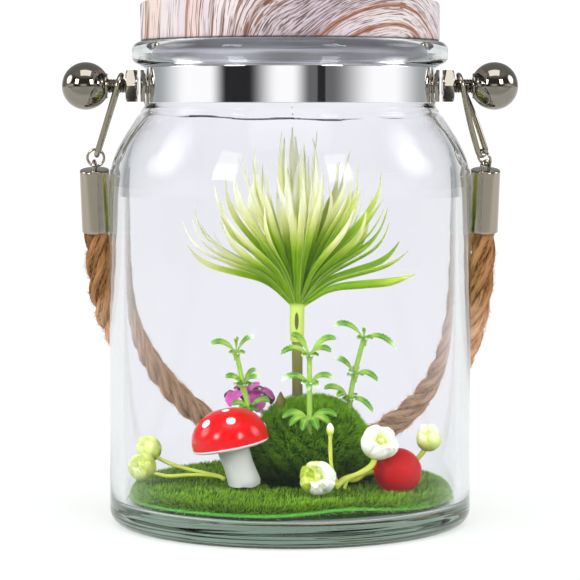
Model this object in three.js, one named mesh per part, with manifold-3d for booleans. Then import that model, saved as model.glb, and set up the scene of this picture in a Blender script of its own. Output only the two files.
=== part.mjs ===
// A planted glass jar: a lidded jar with a rope handle on its neck band, and a small garden inside.
// Millimetres, +Z up, origin at the centre of the foot, studs along X, front towards -Y.
import * as THREE from 'three';
import { mergeVertices } from 'three/addons/utils/BufferGeometryUtils.js';
import Module from 'manifold-3d';

const wasm = await Module();
wasm.setup();

// Driving dimensions of the jar
const GAP = 0.3;
const BODY_R = 50;
const WALL = 4;
const INNER_R = BODY_R - WALL;
const FOOT_FLAT_IN = 34;
const FOOT_FLAT_OUT = 46;
const PUNT = 1.2;
const FLOOR_Z = 6.5;
const SHOULDER_Z = 95;
const NECK_Z = 115;
const NECK_R = 40.2;
const MOUTH_R = 38.2;
const RIM_R = 43.6;
const RIM_Z = 126.2;
const RIM_TOP = 132.6;
const JAR_TURNS = 32;

// Driving dimensions of the lid, band and side hardware
const LID_R = 41.2;
const LID_TOP = 143.5;
const LID_EDGE = 1;
const PLUG_R = 36.4;
const PLUG_Z = 120.5;
const BAND_T = 1.2;
const BAND_Z0 = 115.6;
const BAND_Z1 = 125.4;
const STUD_Z = 120.5;
const STUD_R = 2;
const NUT_R = 5.05;
const NUT_T = 3.2;
const KNOB_R = 6.6;
const KNOB_X = 56.4;
const KNOB_BORE = 4.6;

// Driving dimensions of the handle
const HOOK_X = 47.5;
const HOOK_WIRE = 0.8;
const HOOK_EYE_R = STUD_R + GAP + HOOK_WIRE;
const HOOK_TAIL_R = 1.4;
const RING_R = 2.33;
const RING_WIRE = 0.375;
const LOOP_R = 1.5;
const LOOP_WIRE = 0.55;
const LOOP_LEG = 0.8;
const FERRULE_R = 4.15;
const FERRULE_BORE = 3.8;
const FERRULE_ROOF = 1.2;
const FERRULE_TOP = { x: 54.4, y: 4.2, z: 97.4 };
const FERRULE_END = { x: 54.05, y: 7.6, z: 80 };
const ROPE_R = 3.5;
const ROPE_SIDES = 12;
const ROPE_STEPS = 18;
const TAIL_TWIST = { left: 0, right: 0.95 };

// Driving dimensions of the garden
const TURF_R = 44.8;
const TURF_TOP = 12;
const TURF_Z = FLOOR_Z + GAP;
const SEAT_Z = TURF_TOP + GAP;
const MOUND = { x: 5.9, y: 3, r: 18.8, top: 35 };
const TUFT = { x: 1.9, y: 3, hub: 60.5 };
const TUFT_BLADES = 56;
const TUFT_REACH = 40;
const TUFT_HEIGHT = 49.5;
const MUSHROOM = { x: -12.1, y: -15, lean: -0.32, capR: 10.35, capRise: 8.7, capLean: -0.19, capZ: 24.4 };
const BERRY = { x: 28.8, y: -16, z: 16.1, r: 6.3 };
const GOLDEN_ANGLE = Math.PI * (3 - Math.sqrt(5));

// Finishes
const finish = (color, roughness, metalness = 0) =>
  new THREE.MeshStandardMaterial({ color, roughness, metalness });
const glass = finish(0xdfeaea, 0.03);
glass.transparent = true;
glass.opacity = 0.25;
const printedWood = finish(0xe6d2cc, 0.45);
const silicone = finish(0xc3c8cb, 0.5);
const steel = finish(0xd6d7d9, 0.12, 1);
const nickel = finish(0xbdb3a6, 0.25, 1);
const jute = finish(0xbe9669, 0.95);
const grass = finish(0x3f7f22, 0.95);
const moss = finish(0x4c7a22, 1);
const bark = finish(0x5a5a2c, 0.8);
const tuftGreen = finish(0xb9d36a, 0.5);
const leafGreen = finish(0x7db86a, 0.55);
const petalPurple = finish(0xb93c96, 0.6);
const paleLeaf = finish(0xb4cf8f, 0.6);
const foamWhite = finish(0xf2efe9, 0.55);
const glossRed = finish(0xd3151b, 0.15);
const berryRed = finish(0xc01218, 0.35);
const stemGreen = finish(0xc3cf57, 0.6);
const budWhite = finish(0xeef0cf, 0.6);

const terrarium = new THREE.Group();
const handle = new THREE.Group();
const garden = new THREE.Group();
terrarium.add(handle, garden);

function place(group, name, geometry, material) {
  const mesh = new THREE.Mesh(geometry, material);
  mesh.name = name;
  group.add(mesh);
  return mesh;
}

// Solids: merged vertices, faces outwards
function signedVolume(position, index) {
  const [a, b, c] = [new THREE.Vector3(), new THREE.Vector3(), new THREE.Vector3()];
  let sum = 0;
  for (let i = 0; i < index.length; i += 3) {
    a.fromArray(position, 3 * index[i]);
    b.fromArray(position, 3 * index[i + 1]);
    c.fromArray(position, 3 * index[i + 2]);
    sum += a.dot(b.cross(c)) / 6;
  }
  return sum;
}

function closed(geometry) {
  geometry.deleteAttribute('normal');
  geometry.deleteAttribute('uv');
  const merged = mergeVertices(geometry, 1e-4);
  const index = Array.from(merged.index.array);
  const kept = [];
  for (let i = 0; i < index.length; i += 3) {
    const [a, b, c] = index.slice(i, i + 3);
    if (a !== b && b !== c && c !== a) kept.push(a, b, c);
  }
  if (signedVolume(merged.attributes.position.array, kept) < 0) kept.reverse();
  merged.setIndex(kept);
  merged.computeVertexNormals();
  return merged;
}

function fromArrays(position, index) {
  const geometry = new THREE.BufferGeometry();
  geometry.setAttribute('position', new THREE.Float32BufferAttribute(position, 3));
  geometry.setIndex(index);
  return closed(geometry);
}

function toManifold(geometry) {
  return new wasm.Manifold(new wasm.Mesh({
    numProp: 3,
    vertProperties: new Float32Array(geometry.attributes.position.array),
    triVerts: new Uint32Array(geometry.index.array),
  }));
}

// The outer shell of a fused solid: loose scraps are dropped and sealed hollows filled.
function outerShell(position, index) {
  const root = Array.from({ length: position.length / 3 }, (_, i) => i);
  const find = (i) => {
    let at = i;
    while (root[at] !== at) {
      root[at] = root[root[at]];
      at = root[at];
    }
    return at;
  };
  for (let i = 0; i < index.length; i += 3) {
    root[find(index[i])] = find(index[i + 1]);
    root[find(index[i + 1])] = find(index[i + 2]);
  }
  const shells = new Map();
  for (let i = 0; i < index.length; i += 3) {
    const key = find(index[i]);
    if (!shells.has(key)) shells.set(key, []);
    shells.get(key).push(index[i], index[i + 1], index[i + 2]);
  }
  let best = null;
  let most = 0;
  for (const shell of shells.values()) {
    const volume = signedVolume(position, shell);
    if (volume > most) {
      most = volume;
      best = shell;
    }
  }
  return best;
}

function fromManifold(solid) {
  const mesh = solid.getMesh();
  const position = Array.from(mesh.vertProperties);
  return fromArrays(position, outerShell(position, Array.from(mesh.triVerts)));
}

function fuse(geometries) {
  const solids = geometries.map(toManifold);
  return fromManifold(solids.reduce((sum, solid) => sum.add(solid)));
}

function cut(geometry, tools) {
  const solids = tools.map(toManifold);
  return fromManifold(solids.reduce((rest, solid) => rest.subtract(solid), toManifold(geometry)));
}

// Shapes
const lerp = THREE.MathUtils.lerp;
const v3 = (x, y, z) => new THREE.Vector3(x, y, z);

function arc(r, z, radius, from, to, steps) {
  return Array.from({ length: steps + 1 }, (_, i) => {
    const angle = THREE.MathUtils.degToRad(lerp(from, to, i / steps));
    return [r + radius * Math.cos(angle), z + radius * Math.sin(angle)];
  });
}

// A solid of revolution about Z from [radius, height] pairs
function turned(profile, segments) {
  const points = profile.map(([r, z]) => new THREE.Vector2(r, z));
  const geometry = new THREE.LatheGeometry(points, segments);
  geometry.rotateX(Math.PI / 2);
  return closed(geometry);
}

function ringProfile(inner, outer, z0, z1) {
  return [[inner, z0], [outer, z0], [outer, z1], [inner, z1], [inner, z0]];
}

// A round bar of the given radius along a smooth curve through the points
function bar(points, radius, sides, steps) {
  const section = new THREE.Shape();
  section.absarc(0, 0, radius, 0, 2 * Math.PI);
  const route = new THREE.CatmullRomCurve3(points);
  return closed(new THREE.ExtrudeGeometry(section, {
    steps,
    curveSegments: sides,
    bevelEnabled: false,
    extrudePath: route,
  }));
}

// A thin leaf: a rhombic section carried along a curve, pointed at its tip.
// face is the way its upper side looks, width the half width at t, and cup lifts the edges.
function blade(curve, face, steps, width, halfThickness, cup = 0) {
  const position = [];
  const index = [];
  for (let i = 0; i < steps; i += 1) {
    const t = i / steps;
    const point = curve.getPoint(t);
    const tangent = curve.getTangent(t);
    const across = v3(0, 0, 0).crossVectors(tangent, face).normalize();
    const out = v3(0, 0, 0).crossVectors(across, tangent).normalize();
    const w = width(t);
    const middle = point.clone().addScaledVector(out, cup * w);
    for (const corner of [
      middle.clone().addScaledVector(across, -w),
      point.clone().addScaledVector(out, halfThickness),
      middle.clone().addScaledVector(across, w),
      point.clone().addScaledVector(out, -halfThickness),
    ]) {
      position.push(...corner.toArray());
    }
  }
  position.push(...curve.getPoint(1).toArray());
  const tip = 4 * steps;
  index.push(0, 1, 2, 0, 2, 3);
  for (let i = 0; i < steps; i += 1) {
    for (let k = 0; k < 4; k += 1) {
      const a = 4 * i + k;
      const b = 4 * i + (k + 1) % 4;
      if (i < steps - 1) {
        index.push(a, a + 4, b, b, a + 4, b + 4);
      } else {
        index.push(a, tip, b);
      }
    }
  }
  return fromArrays(position, index);
}

// Whole numbers in, an even spread of values from 0 to 1 out, the same at each build
function spread(i, salt) {
  const x = Math.sin(i * 12.9898 + salt * 78.233) * 43758.5453;
  return x - Math.floor(x);
}

// Glass jar
function jar() {
  const outerShoulder = new THREE.CubicBezierCurve(
    new THREE.Vector2(BODY_R, SHOULDER_Z),
    new THREE.Vector2(BODY_R, SHOULDER_Z + 6.5),
    new THREE.Vector2(BODY_R - 3.8, SHOULDER_Z + 11),
    new THREE.Vector2(NECK_R, NECK_Z),
  );
  const innerShoulder = new THREE.CubicBezierCurve(
    new THREE.Vector2(MOUTH_R, NECK_Z - 1.5),
    new THREE.Vector2(INNER_R - 2.5, SHOULDER_Z + 9.5),
    new THREE.Vector2(INNER_R, SHOULDER_Z + 5.5),
    new THREE.Vector2(INNER_R, SHOULDER_Z - 1),
  );
  const foot = BODY_R - FOOT_FLAT_OUT;
  const heel = 2.6;
  const lip = 1.2;
  return turned([
    [0, PUNT],
    [FOOT_FLAT_IN - 4, PUNT],
    [FOOT_FLAT_IN, 0],
    ...arc(FOOT_FLAT_OUT, foot, foot, -90, 0, 2),
    ...outerShoulder.getPoints(4).map((p) => [p.x, p.y]),
    [NECK_R, RIM_Z - 0.6],
    ...arc(RIM_R - lip, RIM_Z + lip, lip, -90, 0, 2),
    ...arc(RIM_R - lip, RIM_TOP - lip, lip, 0, 90, 2),
    ...arc(MOUTH_R + lip, RIM_TOP - lip, lip, 90, 180, 1),
    ...innerShoulder.getPoints(3).map((p) => [p.x, p.y]),
    ...arc(INNER_R - heel, FLOOR_Z + heel, heel, 0, -90, 2),
    [0, FLOOR_Z],
  ], JAR_TURNS);
}

// Printed lid with its plug
function stopper() {
  const under = RIM_TOP + GAP;
  return turned([
    [0, PLUG_Z],
    [PLUG_R - 1, PLUG_Z],
    [PLUG_R, PLUG_Z + 1],
    [PLUG_R, under],
    [LID_R, under],
    ...arc(LID_R - LID_EDGE, LID_TOP - LID_EDGE, LID_EDGE, 0, 90, 2),
    [0, LID_TOP],
  ], JAR_TURNS);
}

function sealRing() {
  const inner = PLUG_R + GAP;
  const outer = MOUTH_R - GAP;
  return turned(ringProfile(inner, outer, PLUG_Z + 2, RIM_TOP - 1.2), JAR_TURNS);
}

function neckBand() {
  const inner = NECK_R + GAP;
  return turned(ringProfile(inner, inner + BAND_T, BAND_Z0, BAND_Z1), JAR_TURNS);
}

// Side hardware, along its own +Z, which points out along the stud
const BAND_OUT = NECK_R + GAP + BAND_T;
const NUT_AT = BAND_OUT + GAP;

function stud() {
  const length = KNOB_X - KNOB_R + KNOB_BORE - GAP - NUT_AT;
  const geometry = new THREE.CylinderGeometry(STUD_R, STUD_R, length, 12);
  geometry.rotateX(Math.PI / 2);
  return closed(geometry);
}

function nut() {
  const outline = new THREE.Shape();
  for (let i = 0; i < 6; i += 1) {
    const angle = Math.PI / 6 + i * Math.PI / 3;
    const [x, y] = [NUT_R * Math.cos(angle), NUT_R * Math.sin(angle)];
    if (i === 0) outline.moveTo(x, y);
    else outline.lineTo(x, y);
  }
  const bore = new THREE.Path();
  bore.absarc(0, 0, STUD_R + GAP, 0, 2 * Math.PI);
  outline.holes.push(bore);
  return closed(new THREE.ExtrudeGeometry(outline, {
    depth: NUT_T,
    curveSegments: 6,
    bevelEnabled: false,
  }));
}

function knob() {
  const collar = STUD_R + 1.5;
  const start = -Math.acos(collar / KNOB_R) * 180 / Math.PI;
  const face = KNOB_R * Math.sin(start * Math.PI / 180) - 0.5;
  return turned([
    [0, face + KNOB_BORE],
    [STUD_R + GAP, face + KNOB_BORE],
    [STUD_R + GAP, face],
    [collar, face],
    ...arc(0, 0, KNOB_R, start, 78, 7),
    [0, KNOB_R],
  ], 16);
}

function sideHardware(side, name) {
  const group = new THREE.Group();
  group.rotation.y = side * Math.PI / 2;
  group.position.z = STUD_Z;
  terrarium.add(group);
  const studLength = KNOB_X - KNOB_R + KNOB_BORE - GAP - NUT_AT;
  place(group, `stud_${name}`, stud(), steel).position.z = NUT_AT + studLength / 2;
  place(group, `nut_${name}`, nut(), steel).position.z = NUT_AT;
  place(group, `knob_${name}`, knob(), steel).position.z = KNOB_X;
}

// Hook, ring and ferrule of one side of the handle
function sideSuspension(side, name) {
  const top = v3(side * FERRULE_TOP.x, FERRULE_TOP.y, FERRULE_TOP.z);
  const end = v3(side * FERRULE_END.x, FERRULE_END.y, FERRULE_END.z);
  const axis = end.clone().sub(top).normalize();
  const loopTop = top.clone().addScaledVector(axis, -(LOOP_R + LOOP_LEG));
  const pull = v3(side * 0.45, 0.19, -1).normalize();
  const hookSpan = 2 * RING_R - HOOK_WIRE - LOOP_WIRE - 2 * RING_WIRE - 2 * GAP;
  const tail = loopTop.clone().addScaledVector(pull, -hookSpan);
  const eye = v3(side * HOOK_X, 0, STUD_Z);
  const drop = tail.clone().sub(eye);
  const down = drop.clone().normalize();
  const spreadDirection = v3(0, 1, 0).addScaledVector(down, -down.y).normalize();
  const ringCentre = tail.clone().addScaledVector(pull, RING_R - RING_WIRE - GAP - HOOK_WIRE);
  const turn = (s) => spreadDirection.clone().applyAxisAngle(down, TAIL_TWIST[name] * s);

  const arms = 4;
  const halfTurn = 4;
  const length = drop.length() - HOOK_TAIL_R;
  const outline = [];
  const at = (s, sign) => {
    const half = lerp(HOOK_EYE_R, HOOK_TAIL_R, s ** 0.7);
    return eye.clone().addScaledVector(down, s * length).addScaledVector(turn(s), sign * half);
  };
  for (let i = 0; i <= arms; i += 1) outline.push(at(i / arms, 1));
  for (let i = 1; i < halfTurn; i += 1) {
    const angle = Math.PI * i / halfTurn;
    outline.push(eye.clone().addScaledVector(down, length + HOOK_TAIL_R * Math.sin(angle))
      .addScaledVector(turn(1), HOOK_TAIL_R * Math.cos(angle)));
  }
  for (let i = arms; i >= 0; i -= 1) outline.push(at(i / arms, -1));
  for (let i = 1; i < halfTurn; i += 1) {
    const angle = Math.PI * i / halfTurn;
    outline.push(eye.clone().addScaledVector(down, -HOOK_EYE_R * Math.sin(angle))
      .addScaledVector(turn(0), -HOOK_EYE_R * Math.cos(angle)));
  }
  const loop = new THREE.CatmullRomCurve3(outline, true);
  place(handle, `hook_${name}`, closed(new THREE.TubeGeometry(loop, 26, HOOK_WIRE, 5, true)), nickel);

  const ringNormal = turn(1).addScaledVector(pull, -turn(1).dot(pull)).normalize();
  const ring = place(handle, `jump_ring_${name}`,
    closed(new THREE.TorusGeometry(RING_R, RING_WIRE, 5, 14)), nickel);
  ring.position.copy(ringCentre);
  ring.quaternion.setFromUnitVectors(v3(0, 0, 1), ringNormal);

  place(handle, `ferrule_${name}`, ferrule(top, end, axis, ringNormal), nickel);
}

function ferrule(top, end, axis, spreadDirection) {
  const length = top.distanceTo(end);
  const cup = turned([
    [0, 0],
    [FERRULE_R - 0.5, 0],
    [FERRULE_R, -0.5],
    [FERRULE_R, -length],
    [FERRULE_BORE, -length],
    [FERRULE_BORE, -FERRULE_ROOF],
    [0, -FERRULE_ROOF],
  ], 16);
  const stand = new THREE.Quaternion().setFromUnitVectors(v3(0, 0, -1), axis);
  cup.applyQuaternion(stand);
  cup.translate(top.x, top.y, top.z);
  const across = spreadDirection.clone().addScaledVector(axis, -spreadDirection.dot(axis)).normalize();
  const sunk = 0.7;
  const arch = [];
  for (let i = 0; i <= 8; i += 1) {
    const angle = Math.PI * i / 8;
    arch.push(top.clone().addScaledVector(axis, -LOOP_LEG - LOOP_R * Math.sin(angle))
      .addScaledVector(across, LOOP_R * Math.cos(angle)));
  }
  arch.unshift(top.clone().addScaledVector(axis, sunk).addScaledVector(across, LOOP_R));
  arch.push(top.clone().addScaledVector(axis, sunk).addScaledVector(across, -LOOP_R));
  return fuse([cup, bar(arch, LOOP_WIRE, 3, 9)]);
}

// Rope: up into both ferrules, and in one hanging loop round the back of the jar
const ROPE_ROUTE = [
  [-54.25, 5.65, 90],
  [-54.05, 7.6, 80],
  [-53.7, 9.9, 70],
  [-52.7, 13.6, 60.5],
  [-50.4, 20.5, 52],
  [-46.2, 28.8, 43.5],
  [-39.6, 37.4, 34.5],
  [-30.8, 44.9, 25.6],
  [-20.2, 50.6, 17.6],
  [-8.6, 53.8, 12],
  [3.6, 54.4, 10],
  [15.6, 52.2, 12],
  [27, 47.3, 17.5],
  [37, 39.9, 25],
  [44.8, 30.9, 34],
  [49.8, 21.9, 44.5],
  [52.6, 14.1, 56],
  [53.7, 9.9, 68.5],
  [54.05, 7.6, 80],
  [54.25, 5.65, 90],
];

function rope() {
  const points = ROPE_ROUTE.map(([x, y, z]) => v3(x, y, z));
  const section = new THREE.Shape();
  for (let i = 0; i < ROPE_SIDES; i += 1) {
    const angle = 2 * Math.PI * i / ROPE_SIDES;
    const [x, y] = [ROPE_R * Math.cos(angle), ROPE_R * Math.sin(angle)];
    if (i === 0) section.moveTo(x, y);
    else section.lineTo(x, y);
  }
  return closed(new THREE.ExtrudeGeometry(section, {
    steps: ROPE_STEPS,
    bevelEnabled: false,
    extrudePath: new THREE.CatmullRomCurve3(points),
  }));
}

// Ground: a grass mat with a tufted surface, and a mound of moss on it
function tufts(x, y, size) {
  const [a, b] = [x / size, y / size];
  return Math.sin(1.7 * a + 0.6 * b) * Math.sin(1.9 * b - 0.5 * a + 1)
    + 0.6 * Math.sin(3.1 * a - 1.3 * b + 2) * Math.sin(2.7 * b + 1.1 * a);
}

function turf() {
  const around = 40;
  const across = 8;
  const relief = 0.35;
  const turnUp = { back: 2.6, rise: 1.9 };
  const rim = { from: 0.86, drop: 1.6 };
  const edge = (angle) => TURF_R + 0.35 * Math.sin(3 * angle + 1) + 0.2 * Math.sin(7 * angle);
  const seats = [
    [MOUND.x, MOUND.y, MOUND.r + 1],
    [MUSHROOM.x, MUSHROOM.y, 6],
  ];
  const top = (x, y, t) => {
    const free = Math.min(...seats.map(([sx, sy, r]) =>
      THREE.MathUtils.smoothstep(Math.hypot(x - sx, y - sy), r, r + 3)));
    const fall = rim.drop * Math.max(0, t - rim.from) / (1 - rim.from);
    return TURF_TOP + relief * tufts(x, y, 2.4) * free - fall;
  };
  const position = [0, 0, top(0, 0, 0), 0, 0, TURF_Z];
  const index = [];
  for (let i = 0; i < around; i += 1) {
    const angle = 2 * Math.PI * i / around;
    for (let k = 1; k <= across; k += 1) {
      const t = k / across;
      const [x, y] = [edge(angle) * t * Math.cos(angle), edge(angle) * t * Math.sin(angle)];
      position.push(x, y, top(x, y, t));
    }
    const heel = edge(angle) - turnUp.back;
    position.push(edge(angle) * Math.cos(angle), edge(angle) * Math.sin(angle), TURF_Z + turnUp.rise);
    position.push(heel * Math.cos(angle), heel * Math.sin(angle), TURF_Z);
    const here = 2 + i * (across + 2);
    const next = 2 + ((i + 1) % around) * (across + 2);
    index.push(0, here, next, 1, next + across + 1, here + across + 1);
    for (let k = 0; k < across + 1; k += 1) {
      index.push(here + k, here + k + 1, next + k, next + k, here + k + 1, next + k + 1);
    }
  }
  return fromArrays(position, index);
}

function moundHeight(distance) {
  const t = Math.min(1, distance / MOUND.r);
  return (MOUND.top - SEAT_Z) * Math.sqrt(1 - t ** 2.5);
}

function mound() {
  const around = 28;
  const rings = 9;
  const relief = 0.45;
  const position = [MOUND.x, MOUND.y, MOUND.top, MOUND.x, MOUND.y, SEAT_Z];
  const index = [];
  for (let i = 0; i < around; i += 1) {
    const angle = 2 * Math.PI * i / around;
    for (let k = 1; k <= rings; k += 1) {
      const rise = Math.PI / 2 * k / rings;
      const r = MOUND.r * Math.sin(rise) ** 0.9;
      const [x, y] = [MOUND.x + r * Math.cos(angle), MOUND.y + r * Math.sin(angle)];
      const z = SEAT_Z + moundHeight(r);
      const bump = k === rings ? 0 : relief * tufts(x + z, y - z, 2);
      position.push(x + bump * Math.cos(angle), y + bump * Math.sin(angle), z + bump * Math.cos(rise));
    }
    const here = 2 + i * rings;
    const next = 2 + ((i + 1) % around) * rings;
    index.push(0, here, next, 1, next + rings - 1, here + rings - 1);
    for (let k = 0; k < rings - 1; k += 1) {
      index.push(here + k, here + k + 1, next + k, next + k, here + k + 1, next + k + 1);
    }
  }
  return fromArrays(position, index);
}

// Grass tuft: a dark stem, and a moulded socket with its head of arched blades
const TUFT_STEM_R = 1.5;
const SOCKET_R = 2.1;
const SOCKET_Z = 49.5;

function tuftBlade(i) {
  const rank = i / (TUFT_BLADES - 1);
  const rise = THREE.MathUtils.degToRad(lerp(87, 19, rank ** 0.9) + 8 * (spread(i, 1) - 0.5));
  const heading = i * GOLDEN_ANGLE + 0.3 * (spread(i, 2) - 0.5);
  const longest = lerp(TUFT_REACH, TUFT_HEIGHT, Math.sin(rise) ** 3);
  const length = longest * (0.84 + 0.16 * spread(i, 3));
  const sag = 0.3 * Math.cos(rise);
  const out = (angle, distance) => v3(
    TUFT.x + distance * Math.cos(angle) * Math.cos(heading),
    TUFT.y + distance * Math.cos(angle) * Math.sin(heading),
    TUFT.hub + distance * Math.sin(angle),
  );
  const curve = new THREE.CubicBezierCurve3(
    out(rise, 1.6),
    out(rise + 1.2 * sag, 0.32 * length),
    out(rise - sag, 0.74 * length),
    out(rise, length),
  );
  const face = v3(-Math.cos(heading) * Math.sin(rise), -Math.sin(heading) * Math.sin(rise), Math.cos(rise));
  const width = (t) => 0.55 + 0.6 * Math.sin(Math.PI * Math.min(1, 0.2 + 0.8 * t));
  return blade(curve, face, 4, width, 0.4, 0.3);
}

function tuftHead() {
  const socket = turned([
    [0, SOCKET_Z],
    [SOCKET_R - 0.2, SOCKET_Z],
    [SOCKET_R, SOCKET_Z + 4],
    [SOCKET_R, TUFT.hub - 2],
    [SOCKET_R + 0.9, TUFT.hub],
    [SOCKET_R, TUFT.hub + 2],
    [0, TUFT.hub + 3],
  ], 12);
  socket.translate(TUFT.x, TUFT.y, 0);
  const blades = Array.from({ length: TUFT_BLADES }, (_, i) => tuftBlade(i));
  const bore = turned([
    [0, SOCKET_Z - 1],
    [TUFT_STEM_R + GAP, SOCKET_Z - 1],
    [TUFT_STEM_R + GAP, SOCKET_Z + 5 + GAP],
    [0, SOCKET_Z + 5 + GAP],
  ], 12);
  bore.translate(TUFT.x, TUFT.y, 0);
  return cut(fuse([socket, ...blades]), [bore]);
}

function tuftStem() {
  const foot = MOUND.top - 14;
  return bar([
    v3(TUFT.x, TUFT.y, foot),
    v3(TUFT.x + 0.15, TUFT.y, lerp(foot, SOCKET_Z, 0.5)),
    v3(TUFT.x, TUFT.y, SOCKET_Z),
    v3(TUFT.x, TUFT.y, SOCKET_Z + 5),
  ], TUFT_STEM_R, 5, 6);
}

// Sprigs: a stem that flares into a cup at each whorl of spoon-shaped leaves. Each whorl gives its
// height along the stem from 0 to 1, and each leaf its heading in degrees, its reach out from the
// stem and the lift of its tip.
const SPRIGS = {
  left: {
    route: [[-9.3, 0, 19], [-10.4, 0, 26.5], [-13, 0, 37.8], [-14.9, 0, 46.8]],
    whorls: [
      [0.43, [[-15, 6, 2.4], [-60, 3.6, 1.6], [195, 5, 1.4], [-130, 3.8, 0.6]]],
      [0.68, [[180, 4.9, 1.9], [20, 3.9, 3.9], [-35, 5.4, 1.8], [-120, 4, 1]]],
      [1, [[180, 7.2, 2.4], [-20, 5.2, 4.3], [80, 1.7, 4.3], [-100, 2, 4]]],
    ],
  },
  centre: {
    route: [[5.3, -9.8, 19], [5.3, -10.8, 28], [5.3, -10.8, 38], [5.3, -10.6, 47.2]],
    whorls: [
      [0.43, [[-160, 7.2, 0], [-20, 7.2, 0.4], [-125, 6, -1], [-55, 6, -0.6]]],
      [0.74, [[185, 7.6, 0.6], [-5, 6.4, 1.2], [-95, 3.8, -1.8], [-50, 3.6, -1.2]]],
      [1, [[150, 5.8, 5.2], [200, 8.2, 0.6], [15, 7.5, 4.2], [-30, 6.6, 1.2]]],
    ],
  },
  right: {
    route: [[14.8, 0.3, 21], [16.4, 0, 32.4], [18, 0, 41], [20.5, 0, 50.8]],
    whorls: [
      [0.43, [[175, 7.2, 2.8], [-130, 5.6, 1], [-5, 6.4, -3.6], [70, 4.6, 0.6]]],
      [0.66, [[180, 5.6, 4.2], [-10, 6.4, -1.6], [-110, 4, 0.6], [80, 4.4, 1]]],
      [1, [[180, 8.3, 3.4], [-5, 8.8, -2.8], [90, 1.9, 2.6], [-90, 1.9, 2.4]]],
    ],
  },
};
const SPRIG_R = 0.72;
const LEAF_HALF = 1.7;

// Spoon-shaped leaf width with a combed edge: narrow at its stalk, widest past the middle
const spoon = (t) =>
  LEAF_HALF * (0.28 + 0.72 * Math.sin(Math.PI * Math.max(0, t - 0.12) / 1.05) ** 1.4)
    * (t > 0.5 && Math.round(t * 5) % 2 === 0 ? 0.7 : 1);

function sprigLeaf(at, [heading, reach, lift]) {
  const angle = THREE.MathUtils.degToRad(heading);
  const rise = Math.atan2(lift, reach);
  const arch = 0.24 * Math.hypot(reach, lift);
  const step = (share, extra) =>
    at.clone().add(v3(share * reach * Math.cos(angle), share * reach * Math.sin(angle), share * lift + extra));
  const start = 0.7 * SPRIG_R / reach;
  const curve = new THREE.CubicBezierCurve3(step(start, -0.2), step(0.3, arch), step(0.72, arch), step(1, 0));
  const face = v3(-Math.cos(angle) * Math.sin(rise), -Math.sin(angle) * Math.sin(rise) - 0.45, Math.cos(rise));
  return blade(curve, face, 5, spoon, 0.35, 0.12);
}

function sprig({ route, whorls }) {
  const points = route.map(([x, y, z]) => v3(x, y, z));
  const stemCurve = new THREE.CatmullRomCurve3(points);
  const pieces = [bar(points, SPRIG_R, 3, 6)];
  for (const [along, leaves] of whorls) {
    const at = stemCurve.getPointAt(along);
    const cup = turned([[0, -1.8], [SPRIG_R * 0.9, -1.8], [SPRIG_R * 1.8, 0], [0, 0.3]], 6);
    cup.translate(at.x, at.y, at.z);
    pieces.push(cup, ...leaves.map((leaf) => sprigLeaf(at, leaf)));
  }
  return fuse(pieces);
}

// Purple flower: two rows of arched petals on a stalk from the mound
const FLOWER = { x: -11.7, y: 9.2, z: 32.2, r: 8.2 };
const STALK_R = 0.7;
const STALK_ROUTE = [[-3.5, 6.2, 24], [-7, 7.5, 28.6], [-10.2, 8.8, 31], [FLOWER.x, FLOWER.y, FLOWER.z]];

function flower() {
  const heart = new THREE.IcosahedronGeometry(1.9, 0);
  heart.translate(FLOWER.x, FLOWER.y, FLOWER.z + 0.5);
  const petals = [closed(heart)];
  for (const [count, rise, reach, turn] of [[6, 0.3, 1, 0.5], [4, 0.95, 0.72, 0]]) {
    for (let i = 0; i < count; i += 1) {
      const heading = 2 * Math.PI * (i + turn) / count;
      const long = FLOWER.r * reach * (0.9 + 0.12 * spread(i, rise * 10));
      const point = (share, angle) => v3(
        FLOWER.x + share * long * Math.cos(angle) * Math.cos(heading),
        FLOWER.y + share * long * Math.cos(angle) * Math.sin(heading),
        FLOWER.z + share * long * Math.sin(angle),
      );
      const curve = new THREE.QuadraticBezierCurve3(
        point(0.2, rise),
        point(0.7, rise + 0.35),
        point(1, rise - 0.15),
      );
      const face = v3(-Math.cos(heading) * Math.sin(rise), -Math.sin(heading) * Math.sin(rise), Math.cos(rise));
      petals.push(blade(curve, face, 3, (t) => 2.3 * Math.sin(Math.PI * (0.22 + 0.7 * t)), 0.35, 0.15));
    }
  }
  return cut(fuse(petals), [flowerStalk(STALK_R + GAP)]);
}

function flowerStalk(radius) {
  return bar(STALK_ROUTE.map((p) => v3(...p)), radius, 3, 5);
}

// Shoot: a small pointed leaf bud that stands in the moss
const SHOOT = { x: -2.6, y: -2, foot: 28, top: 36.2, r: 1.35 };

function shoot(grow) {
  const body = turned([
    [0, SHOOT.foot - grow],
    [0.45 + grow, SHOOT.foot - grow],
    [0.55 + grow, 31.5],
    [SHOOT.r + grow, 33],
    [0.75 + grow, 34.6],
    [0, SHOOT.top + grow],
  ], 8);
  body.translate(SHOOT.x, SHOOT.y, 0);
  return body;
}

// Mushroom: a leaning stem cut flat where it stands, and a cap that sits on it at its own tilt
const STEM_TOP = 12.7;
const STEM_R = 4.3;

function leaningStem(grow) {
  const stem = turned([
    [0, -3],
    [STEM_R + grow, -3],
    [STEM_R + grow - 0.1, 0.4],
    [STEM_R + grow - 0.3, 5],
    [STEM_R + grow + 0.1, 9],
    [STEM_R + grow, STEM_TOP + grow],
    [0, STEM_TOP + grow],
  ], 16);
  stem.rotateY(MUSHROOM.lean);
  stem.translate(MUSHROOM.x, MUSHROOM.y, SEAT_Z);
  return stem;
}

function mushroomStem() {
  const ground = new THREE.BoxGeometry(20, 20, 8);
  ground.translate(MUSHROOM.x, MUSHROOM.y, SEAT_Z - 4);
  return cut(leaningStem(0), [closed(ground)]);
}

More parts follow.
